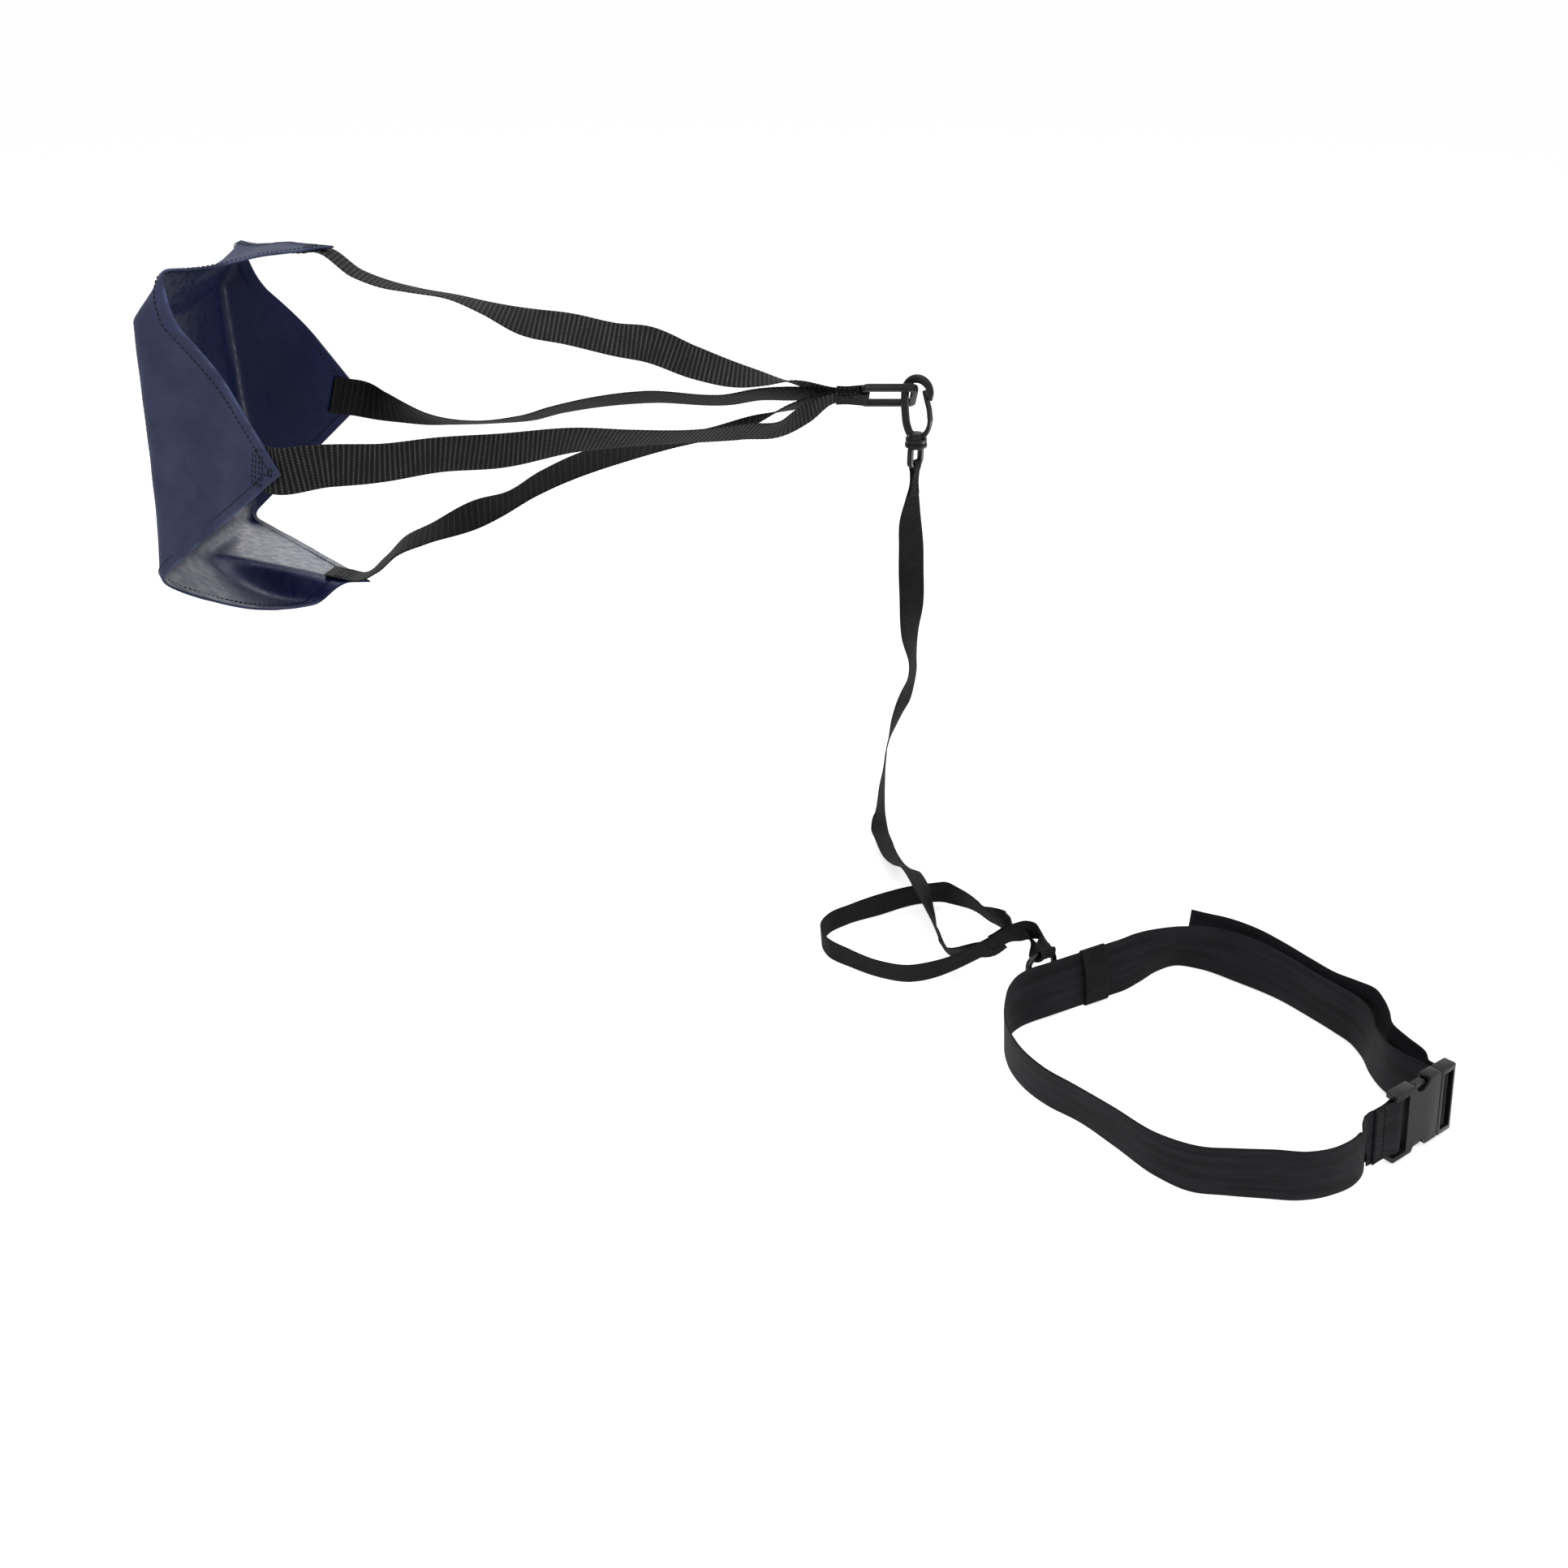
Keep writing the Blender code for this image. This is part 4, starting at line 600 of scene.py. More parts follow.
# Risers. A free run lists the share of the way from the corner to the ring, how far the strap
# lies above that straight line in mm, and its roll in degrees from standing on edge.
gap = 0.3 * mm
riserSettings = {
    "width": 38 * mm, "thickness": 1.4 * mm, "sewnStart": 39 * mm, "sewnEnd": 12 * mm,
    "lengths": {"front": 0.55, "top": 0.51, "back": 0.60, "bottom": 0.54},
    "stack": {"front": 1.5, "bottom": 0.5, "back": -0.5, "top": -1.5},
    "runs": {
        "front": [
            (0.07, 2, 12), (0.16, -2, 22), (0.26, -2, 28), (0.37, -6, 28), (0.50, -6, 43), (0.60, -11, 53),
            (0.72, -17, 58), (0.83, -20, 54), (0.90, -22, 52), (0.962, -11, 30),
        ],
        "top": [
            (0.04, -17, -94), (0.09, -19, -94), (0.15, -17, -97), (0.23, -13, -97), (0.29, -14, -88),
            (0.37, -16, -66), (0.46, -11, -59), (0.56, -8, -56), (0.62, -4, -50), (0.72, -8, -56),
            (0.81, -8, -71), (0.87, -4, -89), (0.93, 1, -110),
        ],
        "back": [
            (0.06, -10, 24), (0.17, -22, 60), (0.29, -25, 70), (0.38, -21, 66), (0.45, -13, 64),
            (0.65, -1, 59), (0.81, -4, 61), (0.87, 0, 60), (0.93, 1, 54),
        ],
        "bottom": [
            (0.03, 12, -88), (0.08, 22, -83), (0.14, 23, -79), (0.25, 23, -62), (0.31, 22, -73),
            (0.39, 28, -72), (0.52, 28, -74), (0.61, 19, -91), (0.68, 15, -91), (0.76, 9, -91),
            (0.85, 5, -94), (0.93, 3, -117),
        ],
    },
}


def rollSide(degrees):
    roll = math.radians(degrees)
    return Vector((0, -math.sin(roll), math.cos(roll)))


def riserStations(name):
    width, thickness = riserSettings["width"], riserSettings["thickness"]
    corner = cornerFrame(name)
    offCloth = (canopySettings["hemThickness"] + thickness) / 2 + gap
    run = riserSettings["runs"][name]
    across = corner.col[0].xyz
    if across.dot(rollSide(run[0][2])) < 0:
        across = -across
    stations = []
    for share in (0, 0.35, 0.7, 1):
        inward = riserSettings["sewnStart"] + (riserSettings["sewnEnd"] - riserSettings["sewnStart"]) * share
        stations.append(station(corner @ Vector((0, -inward, offCloth)), across, width))
    level = riserSettings["stack"][name] * (thickness + gap)
    meeting = ringFrame @ Vector((ringBarX - gatherSettings["mouth"], 0, level))
    ringSide = ringAcross * (-1 if run[-1][2] < -60 else 1)
    for share, lift, roll in run:
        place = tips[name].lerp(meeting, share) + up * lift * mm
        narrowed = width + (gatherSettings["neck"] - width) * ease((share - 0.88) / 0.14)
        stations.append(station(place, rollSide(roll), narrowed))
    for before, narrowed in gatherWidths:
        stations.append(station(ringFrame @ Vector((ringBarX - before, 0, level)), ringSide, narrowed))
    return stations


# The back and bottom risers take the darker copy of the webbing: painted shade.
def makeRiser(name):
    piece, path = layStrap(
        "riserStrap_" + name, "riser_" + name, riserStations(name), body="canopy",
        look=shadedRiserWebbing if name in ("back", "bottom") else riserWebbing,
        width=riserSettings["width"], thickness=riserSettings["thickness"], rib=4.1 * mm, ribDepth=0.3,
    )
    print("riser", name, "is", round(lengthOf(path), 4), "m long")


for riser in ("front", "top", "back", "bottom"):
    makeRiser(riser)

# Swivel: its axis, the hook's frame and the eye's frame
hookSettings = {
    "axis": Vector((-224, 385, 0)) * mm, "heading": math.radians(-35), "base": 414 * mm, "height": 61.5 * mm,
    "bend": 13.3 * mm, "barWidth": 7.6 * mm, "barDepth": 6.4 * mm, "squareness": 2.8, "drawnShare": 0.92,
    "collarRadius": 9.8 * mm, "collarHeight": 4.3 * mm, "baseRadius": 7.6 * mm, "baseHeight": 8.2 * mm,
    "stemRadius": 2.6 * mm, "stemHead": 4.3 * mm, "headHeight": 2.4 * mm, "ledge": 2.5 * mm,
}
eyeSettings = {"width": 21 * mm, "height": 18.5 * mm, "bar": 5 * mm, "heading": math.radians(50)}
hookFrame = Matrix.Translation(hookSettings["axis"]) @ Matrix.Rotation(hookSettings["heading"], 4, "Z")
bendZ = hookSettings["base"] + hookSettings["height"] - hookSettings["barWidth"] / 2 - hookSettings["bend"]
bendX = -0.4 * mm
gateHinge = Vector((13.6 * mm, 0, hookSettings["base"] + 0.3675 * hookSettings["height"]))
eyeTop = hookSettings["base"] - gap - 4.7 * mm
eyeHeading = heading(eyeSettings["heading"])
eyeLevel = eyeTop - eyeSettings["height"] + eyeSettings["bar"] / 2
eyeFrame = axes(hookSettings["axis"] + up * eyeLevel, eyeHeading, up, eyeHeading.cross(up))

# Tether strap and hand loop: places in mm, the azimuth and elevation of the strap's width, and its share
tetherSettings = {
    "length": 0.73,
    "run": [
        (-225, 385, 360, 30, 0, 0.62), (-226, 385, 339, 23, 0, 0.9), (-224, 385, 312, 17, 0, 1),
        (-223, 385, 290, 12, 0, 1), (-221, 385, 255, 17, 0, 1), (-221, 385, 222, 44, 0, 1),
        (-217, 385, 192, 69, 0, 1), (-217, 385, 177, 65, 0, 1), (-221, 385, 160, 53, 0, 1),
        (-225, 385, 145, 48, 0, 1), (-230, 385, 130, 57, 0, 1), (-234, 385, 114, 69, 0, 1),
        (-239, 384, 95, 81, 0, 1), (-241, 382, 75, 80, 0, 1), (-243, 379, 55, 73, 0, 1),
        (-244, 374, 36, 68, 0, 1), (-245, 368, 20, 58, -8, 1), (-245, 356, 11, 42, -22, 1),
        (-242, 337, 9, 27, -30, 1), (-235, 302, 10.5, 18, -29, 1), (-228, 272, 21, 16, -28, 1),
        (-222, 248, 33.5, 16, -29, 1), (-216, 226, 34, 18, -32, 1),
        (-208, 200, 21.5, 40, -48, 1), (-204, 180, 15.5, 32, -67, 1), (-198, 156, 15, -4, -69, 1),
        (-195, 141, 19, -6, -43, 1), (-189, 130, 25.5, 30, -37, 1),
    ],
}
joinSettings = {
    "place": Vector((-155, 120.3, 44.6)) * mm, "heading": math.radians(17), "pitch": math.radians(22),
    "lean": math.radians(-17), "length": 16 * mm, "drop": 9 * mm,
}
joinAhead = heading(joinSettings["heading"])
joinAlong = joinAhead * math.cos(joinSettings["pitch"]) + up * math.sin(joinSettings["pitch"])
joinLeft = heading(joinSettings["heading"] + math.pi / 2)
joinLean = joinSettings["lean"]
joinUp = joinAlong.cross(joinLeft) * math.cos(joinLean) + joinLeft * math.sin(joinLean)
joinBack = joinUp.cross(joinAlong)


def joinStation(along, layer, lift, turn=0):
    back = joinBack * layer * (narrowStrap["thickness"] + gap)
    place = joinSettings["place"] + joinAlong * along + back + joinUp * lift
    side = joinUp * math.cos(math.radians(turn)) + joinAlong * math.sin(math.radians(turn))
    return station(place, side, narrowStrap["width"])


eyeLoopWidth = eyeSettings["width"] - 2 * eyeSettings["bar"] - 6 * gap
besideLeg = (narrowStrap["thickness"] + gap) / 2


def makeTether():
    wrap = eyeSettings["bar"] / 2 + gap + narrowStrap["thickness"] / 2
    legs = [(-30 * mm, besideLeg, 1.7), (-17 * mm, besideLeg, 1.25), (-7 * mm, (besideLeg + wrap) / 2, 1)]
    places = [(low, out, eyeLoopWidth * size) for low, out, size in legs]
    places += [(wrap * sine, wrap * cosine, eyeLoopWidth) for cosine, sine in arc(0, 180)]
    places += [(low, -out, width) for low, out, width in places[2:0:-1]]
    eyeSide = eyeFrame.col[0].xyz
    stations = [station(eyeFrame @ Vector((0, low, out)), eyeSide, width) for low, out, width in places]
    stations += swept(tetherSettings["run"], narrowStrap["width"])
    length, drop = joinSettings["length"], joinSettings["drop"]
    stations.append(joinStation(-length * 0.9, 2.5, -drop, 192))
    stations.append(joinStation(-length * 0.4, 1.1, -drop * 1.35, 183))
    stations.append(joinStation(length * 0.3, 1, -drop * 1.1, 180))
    piece, path = layStrap("tetherWebbing", "tether_strap", stations)
    print("tether is", round(lengthOf(path), 4), "m long")


handLoopSettings = {
    "length": 0.63, "ringWidth": 0.66,
    "start": [
        (-144.9, 135.8, 52.9, 122, 74, 0.9), (-150, 147.7, 48.1, 152, 59, 1),
        (-154.9, 165.1, 38.9, 164, 51, 1), (-159.5, 183.8, 31.6, 167, 59, 1),
        (-167.2, 204.6, 26.1, 169, 61, 1), (-175.4, 223.7, 18.9, 160, 62, 1),
    ],
    "far": [
        (-190, 240, 1.5, 5), (-213, 239, 0, 6), (-254, 220, 0, 0), (-285, 205, 0, 6), (-303, 190, 0, 2),
        (-309, 174, 0, -4), (-304, 156, 0, -8), (-283, 139, 0, -12), (-257, 123, 1, -16), (-232, 111, 6, -17),
        (-206, 108, 15, -17),
    ],
    "toRing": [
        (-137, 122.5, 52.3, -123, 76, 1), (-128, 121, 56, -117, 76, 0.96),
        (-121.5, 117.5, 57.2, -109, 70, 0.88), (-118.5, 113, 57.4, -111, 60, 0.76),
        (-116.7, 109, 57.2, -110, 45, 0.68), (-116, 105, 56.5, -115, 25, 0.6),
    ],
    "fromRing": [
        (-122, 106, 45.5, -140, 32, 0.66), (-122.5, 112, 46.7, -141, 38, 0.66),
        (-126, 121, 47.7, -142, 55, 0.66),
    ],
}

# Belt: lower edges in mm, and lean in degrees outwards, from the socket round to the plug
beltSettings = {
    "width": 50 * mm, "thickness": 1.5 * mm,
    "run": [
        (92, -125, 3.5, -8), (66, -139, 1, -2), (41, -143, 0, 0), (16, -141, 0, 0), (-12, -138, 0, 2),
        (-38, -134, 0, 4), (-61, -118, 0, 9), (-86, -87, 0, 13), (-109, -60, 0, 16), (-132, -41, 0, 14),
        (-148, -20, 0, 11), (-157, 7, 0, 7), (-156, 32, 0, 4), (-147, 49, 0, 8), (-136, 58.6, 0, 13),
        (-128, 63, 0, 15.5), (-112, 70.8, 0, 15.5), (-96, 78.6, 0, 15.5), (-82, 85.4, 0, 15.5),
        (-68, 92.2, 0, 15.5), (-54, 99.1, 0, 15.5), (-40, 106, 0, 15.5), (-25, 117, 0, 12),
        (-4, 134, 0, -2), (15, 142, 0, -8), (35, 137, 0, -4),
        (64, 118, 0, 2), (95, 93, 0, -3), (115, 69, 0, -5), (130, 49, 0, -4), (139, 35, 0, -3),
        (143, 18, 0, -3), (143, -4, 0, -6), (146, -26, 2, -7),
    ],
    "tail": [
        (161, -38, 4, 4), (155, -20, 3.5, 2), (151, -2, 3, 0), (154, 14, 3, 0), (153, 29, 3, 2),
        (150, 42, 3, 3), (141, 53, 3, 0), (128, 65, 3, -2), (113, 84, 3, -2), (96, 106, 3, -1),
        (77, 127, 3, 0), (55, 143, 3, 0), (36, 151, 3, 0), (25, 156, 3, 0),
    ],
}
buckleSettings = {
    "centre": Vector((144.5, -82.5, 31.8)) * mm, "heading": math.radians(33.3), "lean": math.radians(9.5),
    "bar": 4.4 * mm, "socketBar": -24 * mm, "plugBar": 31 * mm, "plateHalf": 24.5 * mm, "edge": 1.5 * mm,
    "prongEdge": 0.4 * mm,
}
buckleFrame = (
    Matrix.Translation(buckleSettings["centre"])
    @ Matrix.Rotation(buckleSettings["heading"], 4, "Z")
    @ Matrix.Rotation(math.pi / 2 - buckleSettings["lean"], 4, "X")
)


def buckleStation(along, out):
    return station(buckleFrame @ Vector((along, 0, out)), buckleFrame.col[1].xyz, beltSettings["width"])


def beltStations():
    thickness = beltSettings["thickness"]
    wrap = buckleSettings["bar"] / 2 + gap + thickness / 2
    beside = (thickness + gap) / 2
    halfway = (beside + wrap) / 2
    atSocket = [(-27 * mm, beside), (-14 * mm, beside), (-7 * mm, halfway)]
    atSocket += [(wrap * cosine, wrap * sine) for cosine, sine in arc(90, -180)]
    atSocket += [(-7 * mm, -halfway), (-14 * mm, -beside), (-27 * mm, -beside), (-34 * mm, -beside - gap)]
    atPlug = [(-wrap, -15 * mm), (-wrap, -6 * mm)]
    atPlug += [(wrap * cosine, wrap * sine) for cosine, sine in arc(180, -180)]
    atPlug += [(wrap, -6 * mm), (wrap, -15 * mm)]
    made = [buckleStation(buckleSettings["socketBar"] + along, out) for along, out in atSocket]
    made += onEdge(beltSettings["run"], beltSettings["width"])
    made += [buckleStation(buckleSettings["plugBar"] + along, out) for along, out in atPlug]
    made += onEdge([(x, y, z, -lean) for x, y, z, lean in beltSettings["tail"]], beltSettings["width"])
    return made


beltLine = beltStations()


def beltFrameAt(place):
    frames = strapFrames(smoothLine(beltLine, 9 * mm))
    nearest = min(frames, key=lambda one: (one.translation - place).to_2d().length)
    across = nearest.col[0].xyz.normalized()
    back = -nearest.col[2].xyz
    return axes(nearest.translation - across * beltSettings["width"] / 2, back, across, back.cross(across))


dRingSettings = {
    "width": 36 * mm, "height": 27 * mm, "bar": 5 * mm, "place": Vector((-112, 70.8, 0)) * mm,
    "skew": math.radians(12), "level": 34 * mm, "standoff": 8 * mm, "squareness": 2.8,
}


def dRingFrameNow():
    belt = beltFrameAt(dRingSettings["place"])
    place = belt @ Vector((0, dRingSettings["level"], dRingSettings["standoff"]))
    return Matrix.Translation(place) @ belt.to_3x3().to_4x4() @ Matrix.Rotation(dRingSettings["skew"], 4, "Y")


dRingFrame = dRingFrameNow()


def makeHandLoop():
    wrap = dRingSettings["bar"] / 2 + 4 * gap + narrowStrap["thickness"] / 2
    side = dRingFrame.col[0].xyz
    top = dRingSettings["height"] - dRingSettings["bar"]
    slack, slide = 1.2 * mm, -6 * mm
    width = narrowStrap["width"]
    length, drop = joinSettings["length"], joinSettings["drop"]
    stations = [
        joinStation(-length * 0.3, 3, -6 * mm), joinStation(length * 0.7, 3, -4 * mm),
        joinStation(length * 1.2, 5.5, 0),
    ]
    stations += swept(handLoopSettings["start"], width)
    stations += onEdge(handLoopSettings["far"], width)
    stations += [joinStation(length * share, 0, 0) for share in (-1.6, -0.8, 0, 0.6)]
    stations += swept(handLoopSettings["toRing"], width)
    for step, (cosine, sine) in enumerate(arc(90, 180)):
        place = Vector((slide * (1 - step / 6), top + wrap * sine, wrap * cosine - slack))
        stations.append(station(dRingFrame @ place, side, width * handLoopSettings["ringWidth"]))
    stations += swept(handLoopSettings["fromRing"], width)
    stations += [joinStation(length * 0.9, 2, -drop * 0.3), joinStation(0, 2, -drop * 0.3)]
    piece, path = layStrap("handLoopWebbing", "hand_loop", stations)
    print("hand loop is", round(lengthOf(path), 4), "m long")


makeTether()
makeHandLoop()
print("cords laid")


def makeCanopy():
    settings = canopySettings
    side, hem = settings["side"], settings["hem"]
    border = [line * mm for line in settings["border"]]
    inner = settings["cells"]
    step = (side - 2 * border[-1]) / inner
    lines = border + [border[-1] + step * k for k in range(1, inner)]
    lines += [side - line for line in reversed(border)]
    lines = [line / side for line in lines]
    measured = [line * side for line in lines]
    bm, weights, places = weaveGrid(measured, measured)
    for vertex, (column, row) in places.items():
        u, v = lines[column], lines[row]
        edge = min(u, v, 1 - u, 1 - v) * side
        place = canopyFrame(u, v)
        point = place.translation
        along = (u + v) * side
        pucker = settings["pucker"] * noise.noise(Vector((along * 95, edge * 60, 3)))
        if edge < hem - 0.5 * mm:
            vertex[weights][0] = (settings["edgeThin"] if edge < 0.3 * mm else 1.0) * (1 - max(0.0, pucker))
        else:
            vertex[weights][0] = settings["thickness"] / settings["hemThickness"]
        nearest = min((tip - point).length for tip in tips.values())
        free = ease((nearest - settings["stillReach"]) / settings["freeReach"])
        ripple = noise.noise(point * 11) + 0.45 * noise.noise(point * 31 + Vector((5, 1, 2)))
        gathered = 0.22 * noise.noise(Vector((along * 70, edge * 25, 8))) * ease(1 - edge / (26 * mm))
        vertex.co = point + place.col[2].xyz * settings["ripple"] * free * (ripple + gathered)
    middle = canopyPoint(0.5, 0.5)
    bmesh.ops.recalc_face_normals(bm, faces=bm.faces)
    nearMiddle = min(bm.faces, key=lambda face: (face.calc_center_median() - middle).length)
    if nearMiddle.normal.dot(canopyInside - middle) > 0:
        bmesh.ops.reverse_faces(bm, faces=bm.faces)
    piece = finishMesh(bm, "canopyCloth", navyOutside, "canopy", "cloth", ["canopy"], 60, turned=True)
    piece.data.materials.append(navyInside)
    piece.vertex_groups.new(name="hem")
    addModifier(
        piece, "cloth", "SOLIDIFY", thickness=settings["hemThickness"], offset=0.0,
        vertex_group="hem", material_offset=1, use_even_offset=False,
    )
    return piece


canopyCloth = makeCanopy()
print("canopy hung")

# Sewing. A stitch is one short raised thread.
stitchSettings = {
    "radius": 0.5 * mm, "length": 3.2 * mm, "pitch": 4.2 * mm, "lift": 0.1 * mm, "boxHalf": 5.5 * mm,
    "hemInset": 8.6 * mm, "cornerHalf": 15.6 * mm, "cornerRows": (-2 * mm, 2 * mm),
    "insideLines": [
        ((-15.6, 20), (15.6, 20)), ((-15.6, 23.5), (15.6, 23.5)), ((-15.6, 27.5), (15.6, 27.5)),
        ((-15.6, 31), (15.6, 31)), ((-15.6, 20), (-15.6, 31)), ((15.6, 20), (15.6, 31)),
        ((-5, 9), (5, 9)), ((-5, 11), (5, 11)), ((-5, 13), (5, 13)),
    ],
}
threadLift, boxHalf = stitchSettings["lift"], stitchSettings["boxHalf"]


def addStitch(bm, start, end, out):
    along = end - start
    across = along.normalized().cross(out).normalized()
    radius = stitchSettings["radius"]
    place = axes((start + end) / 2, across * radius, out * radius, along / 2)
    bmesh.ops.create_uvsphere(bm, u_segments=6, v_segments=5, radius=1, matrix=place)


def sewLine(bm, points, outs):
    length, pitch = stitchSettings["length"], stitchSettings["pitch"]
    travelled = 0.0
    start = points[0]
    for number in range(1, len(points)):
        travelled += (points[number] - points[number - 1]).length
        if start is not None and travelled >= length:
            addStitch(bm, start, points[number], outs[number])
            start = None
        if start is None and travelled >= pitch:
            start = points[number]
            travelled = 0.0


def sewBox(bm, place, width, length, side=1, rows=()):
    corners = [(-width, -length), (width, -length), (width, length), (-width, length)]
    lines = list(zip(corners, corners[1:] + corners[:1]))
    lines += [((-width, row), (width, row)) for row in rows]
    for start, end in lines:
        count = max(2, round(math.dist(start, end) / (0.5 * mm)))
        points = []
        for k in range(count + 1):
            x, y = (a + (b - a) * k / count for a, b in zip(start, end))
            points.append(place @ Vector((x, y, 0)))
        sewLine(bm, points, [place.col[2].xyz * side] * len(points))


def sewOnCloth(bm, start, end, side, steps):
    points, outs = [], []
    for step in range(steps + 1):
        share = step / steps
        u, v = (a + (b - a) * share for a, b in zip(start, end))
        place = canopyFrame(u, v)
        out = place.col[2].xyz * side
        inHem = min(u, v, 1 - u, 1 - v) * canopySettings["side"] < canopySettings["hem"]
        thickness = canopySettings["hemThickness" if inHem else "thickness"]
        points.append(place.translation + out * (thickness / 2 + threadLift))
        outs.append(out)
    sewLine(bm, points, outs)


def finishStitches(bm, name, body, nodes=()):
    return finishMesh(bm, name, sewingThread, body, "thread", nodes, 60)


def makeBoxStitches(name, node, body, boxes):
    bm = bmesh.new()
    for box in boxes:
        sewBox(bm, *box)
    return finishStitches(bm, name, body, [node])


def makeHemStitches():
    bm = bmesh.new()
    low = stitchSettings["hemInset"] / canopySettings["side"]
    high = 1 - low
    corners = [(low, low), (high, low), (high, high), (low, high), (low, low)]
    for side in (-1, 1):
        for start, end in zip(corners, corners[1:]):
            sewOnCloth(bm, start, end, side, 800)
    return finishStitches(bm, "hemStitches", "canopy")


def cornerUV(name, across, inward):
    a, b = ((inward + turn * across) * mm / math.sqrt(2) / canopySettings["side"] for turn in (-1, 1))
    return {"front": (a, b), "back": (1 - a, 1 - b), "top": (a, 1 - b), "bottom": (1 - a, b)}[name]


def makeCornerStitches(name):
    bm = bmesh.new()
    offCloth = canopySettings["hemThickness"] / 2 + gap + riserSettings["thickness"] + threadLift
    middle = (riserSettings["sewnStart"] + riserSettings["sewnEnd"]) / 2
    sewn = cornerFrame(name) @ Matrix.Translation((0, -middle, offCloth))
    sewBox(bm, sewn, stitchSettings["cornerHalf"], boxHalf, 1, stitchSettings["cornerRows"])
    for start, end in stitchSettings["insideLines"]:
        sewOnCloth(bm, cornerUV(name, *start), cornerUV(name, *end), -1, 60)
    return finishStitches(bm, "cornerStitches_" + name, "canopy", ["corner_stitch_" + name])


hemStitches = makeHemStitches()
cornerStitches = [makeCornerStitches(name) for name in ("front", "top", "back", "bottom")]
print("canopy sewn")

# Short straps: the loop round the ring, the D-ring's tab, the keeper and the belt
tabSettings = {"width": 23 * mm, "endLevel": 7 * mm}
keeperSettings = {"place": Vector((-68, 92.2, 0)) * mm, "thickness": 1.2 * mm, "play": 0.9 * mm}
quarterTurn = Matrix.Rotation(math.pi / 2, 4, "Z")


def makeRingLoop():
    thickness = narrowStrap["thickness"]
    wrap = ringSettings["bar"] / 2 + gap + thickness / 2
    leg = 2 * (riserSettings["thickness"] + gap) + (thickness + gap) / 2
    places = [(ringBarX - before, leg, width) for before, width in gatherWidths]
    for cosine, sine in arc(90, -180):
        places.append((ringBarX + wrap * cosine, wrap * sine, gatherSettings["width"]))
    places += [(x, -z, width) for x, z, width in reversed(places[:3])]
    stations = [station(ringFrame @ Vector((x, 0, z)), ringAcross, width) for x, z, width in places]
    layStrap("ringLoopWebbing", "ring_loop", stations, body="canopy")
    boxes = []
    for side in (-1, 1):
        level = side * (leg + thickness / 2 + threadLift)
        sewn = ringFrame @ Matrix.Translation((ringBarX - gatherSettings["length"] + 8 * mm, 0, level))
        boxes.append((sewn @ quarterTurn, gatherSettings["neck"] * 0.4, boxHalf, side))
    makeBoxStitches("gatherStitches", "gather_stitch", "canopy", boxes)


def makeTab():
    belt = beltFrameAt(dRingSettings["place"])
    thickness, level = narrowStrap["thickness"], dRingSettings["level"]
    width, endLevel = tabSettings["width"], tabSettings["endLevel"]
    wrap = dRingSettings["bar"] / 2 + 2 * gap + thickness / 2
    onBelt = beltSettings["thickness"] / 2 + gap + thickness / 2
    second = onBelt + thickness + gap
    flat, side = belt.col[0].xyz, dRingFrame.col[0].xyz
    rising = [(endLevel, onBelt), (level - 16 * mm, onBelt), (level - 8 * mm, onBelt + 0.8 * mm)]
    falling = [(level - 12 * mm, second + 2.2 * mm), (level - 19 * mm, second), (endLevel, second)]
    stations = [station(belt @ Vector((0, low, out)), flat, width) for low, out in rising]
    for cosine, sine in arc(200, -220):
        stations.append(station(dRingFrame @ Vector((0, wrap * sine, wrap * cosine)), side, width))
    stations += [station(belt @ Vector((0, low, out)), flat, width) for low, out in falling]
    layStrap("tabWebbing", "d_ring_tab", stations, width=width)
    sewn = belt @ Matrix.Translation((0, endLevel + 4 * mm, second + thickness / 2 + threadLift))
    makeBoxStitches("tabStitches", "tab_stitch", "belt", [(sewn, width * 0.4, 3 * mm)])


def roundedRectangle(low, high, corner, steps):
    points = []
    centres = [
        (high[0] - corner, high[1] - corner), (low[0] + corner, high[1] - corner),
        (low[0] + corner, low[1] + corner), (high[0] - corner, low[1] + corner),
    ]
    for quarter, (x, y) in enumerate(centres):
        points += [(x + corner * cosine, y + corner * sine) for cosine, sine in arc(90 * quarter, 90, steps)]
    return points


def makeKeeper():
    belt = beltFrameAt(keeperSettings["place"])
    thickness, width = keeperSettings["thickness"], narrowStrap["width"]
    out = beltSettings["thickness"] / 2 + keeperSettings["play"] + thickness / 2
    low, high = -thickness / 2 - gap, beltSettings["width"] + gap + thickness / 2
    points = roundedRectangle((low, -out), (high, out), out * 0.9, 3)
    points.append(points[0])
    stations = [station(belt @ Vector((0, y, z)), belt.col[0].xyz, width) for y, z in points]
    layStrap(
        "keeperWebbing", "keeper_band", stations, look=bandWebbing, body="keeper", thickness=thickness,
        rib=2.0 * mm, closed=True,
    )


def makeBelt():
    layStrap(
        "beltWebbing", "belt_strap", beltLine, look=beltWebbing, slot="belt", rib=9 * mm, ribDepth=0.0,
        width=beltSettings["width"], thickness=beltSettings["thickness"],
    )
    out = beltSettings["thickness"] + gap / 2 + threadLift
    sewn = buckleFrame @ Matrix.Translation((buckleSettings["socketBar"] - 21 * mm, 0, out)) @ quarterTurn
    box = (sewn, beltSettings["width"] * 0.45, 5 * mm)
    makeBoxStitches("beltEndStitches", "belt_end_stitch", "belt", [box])


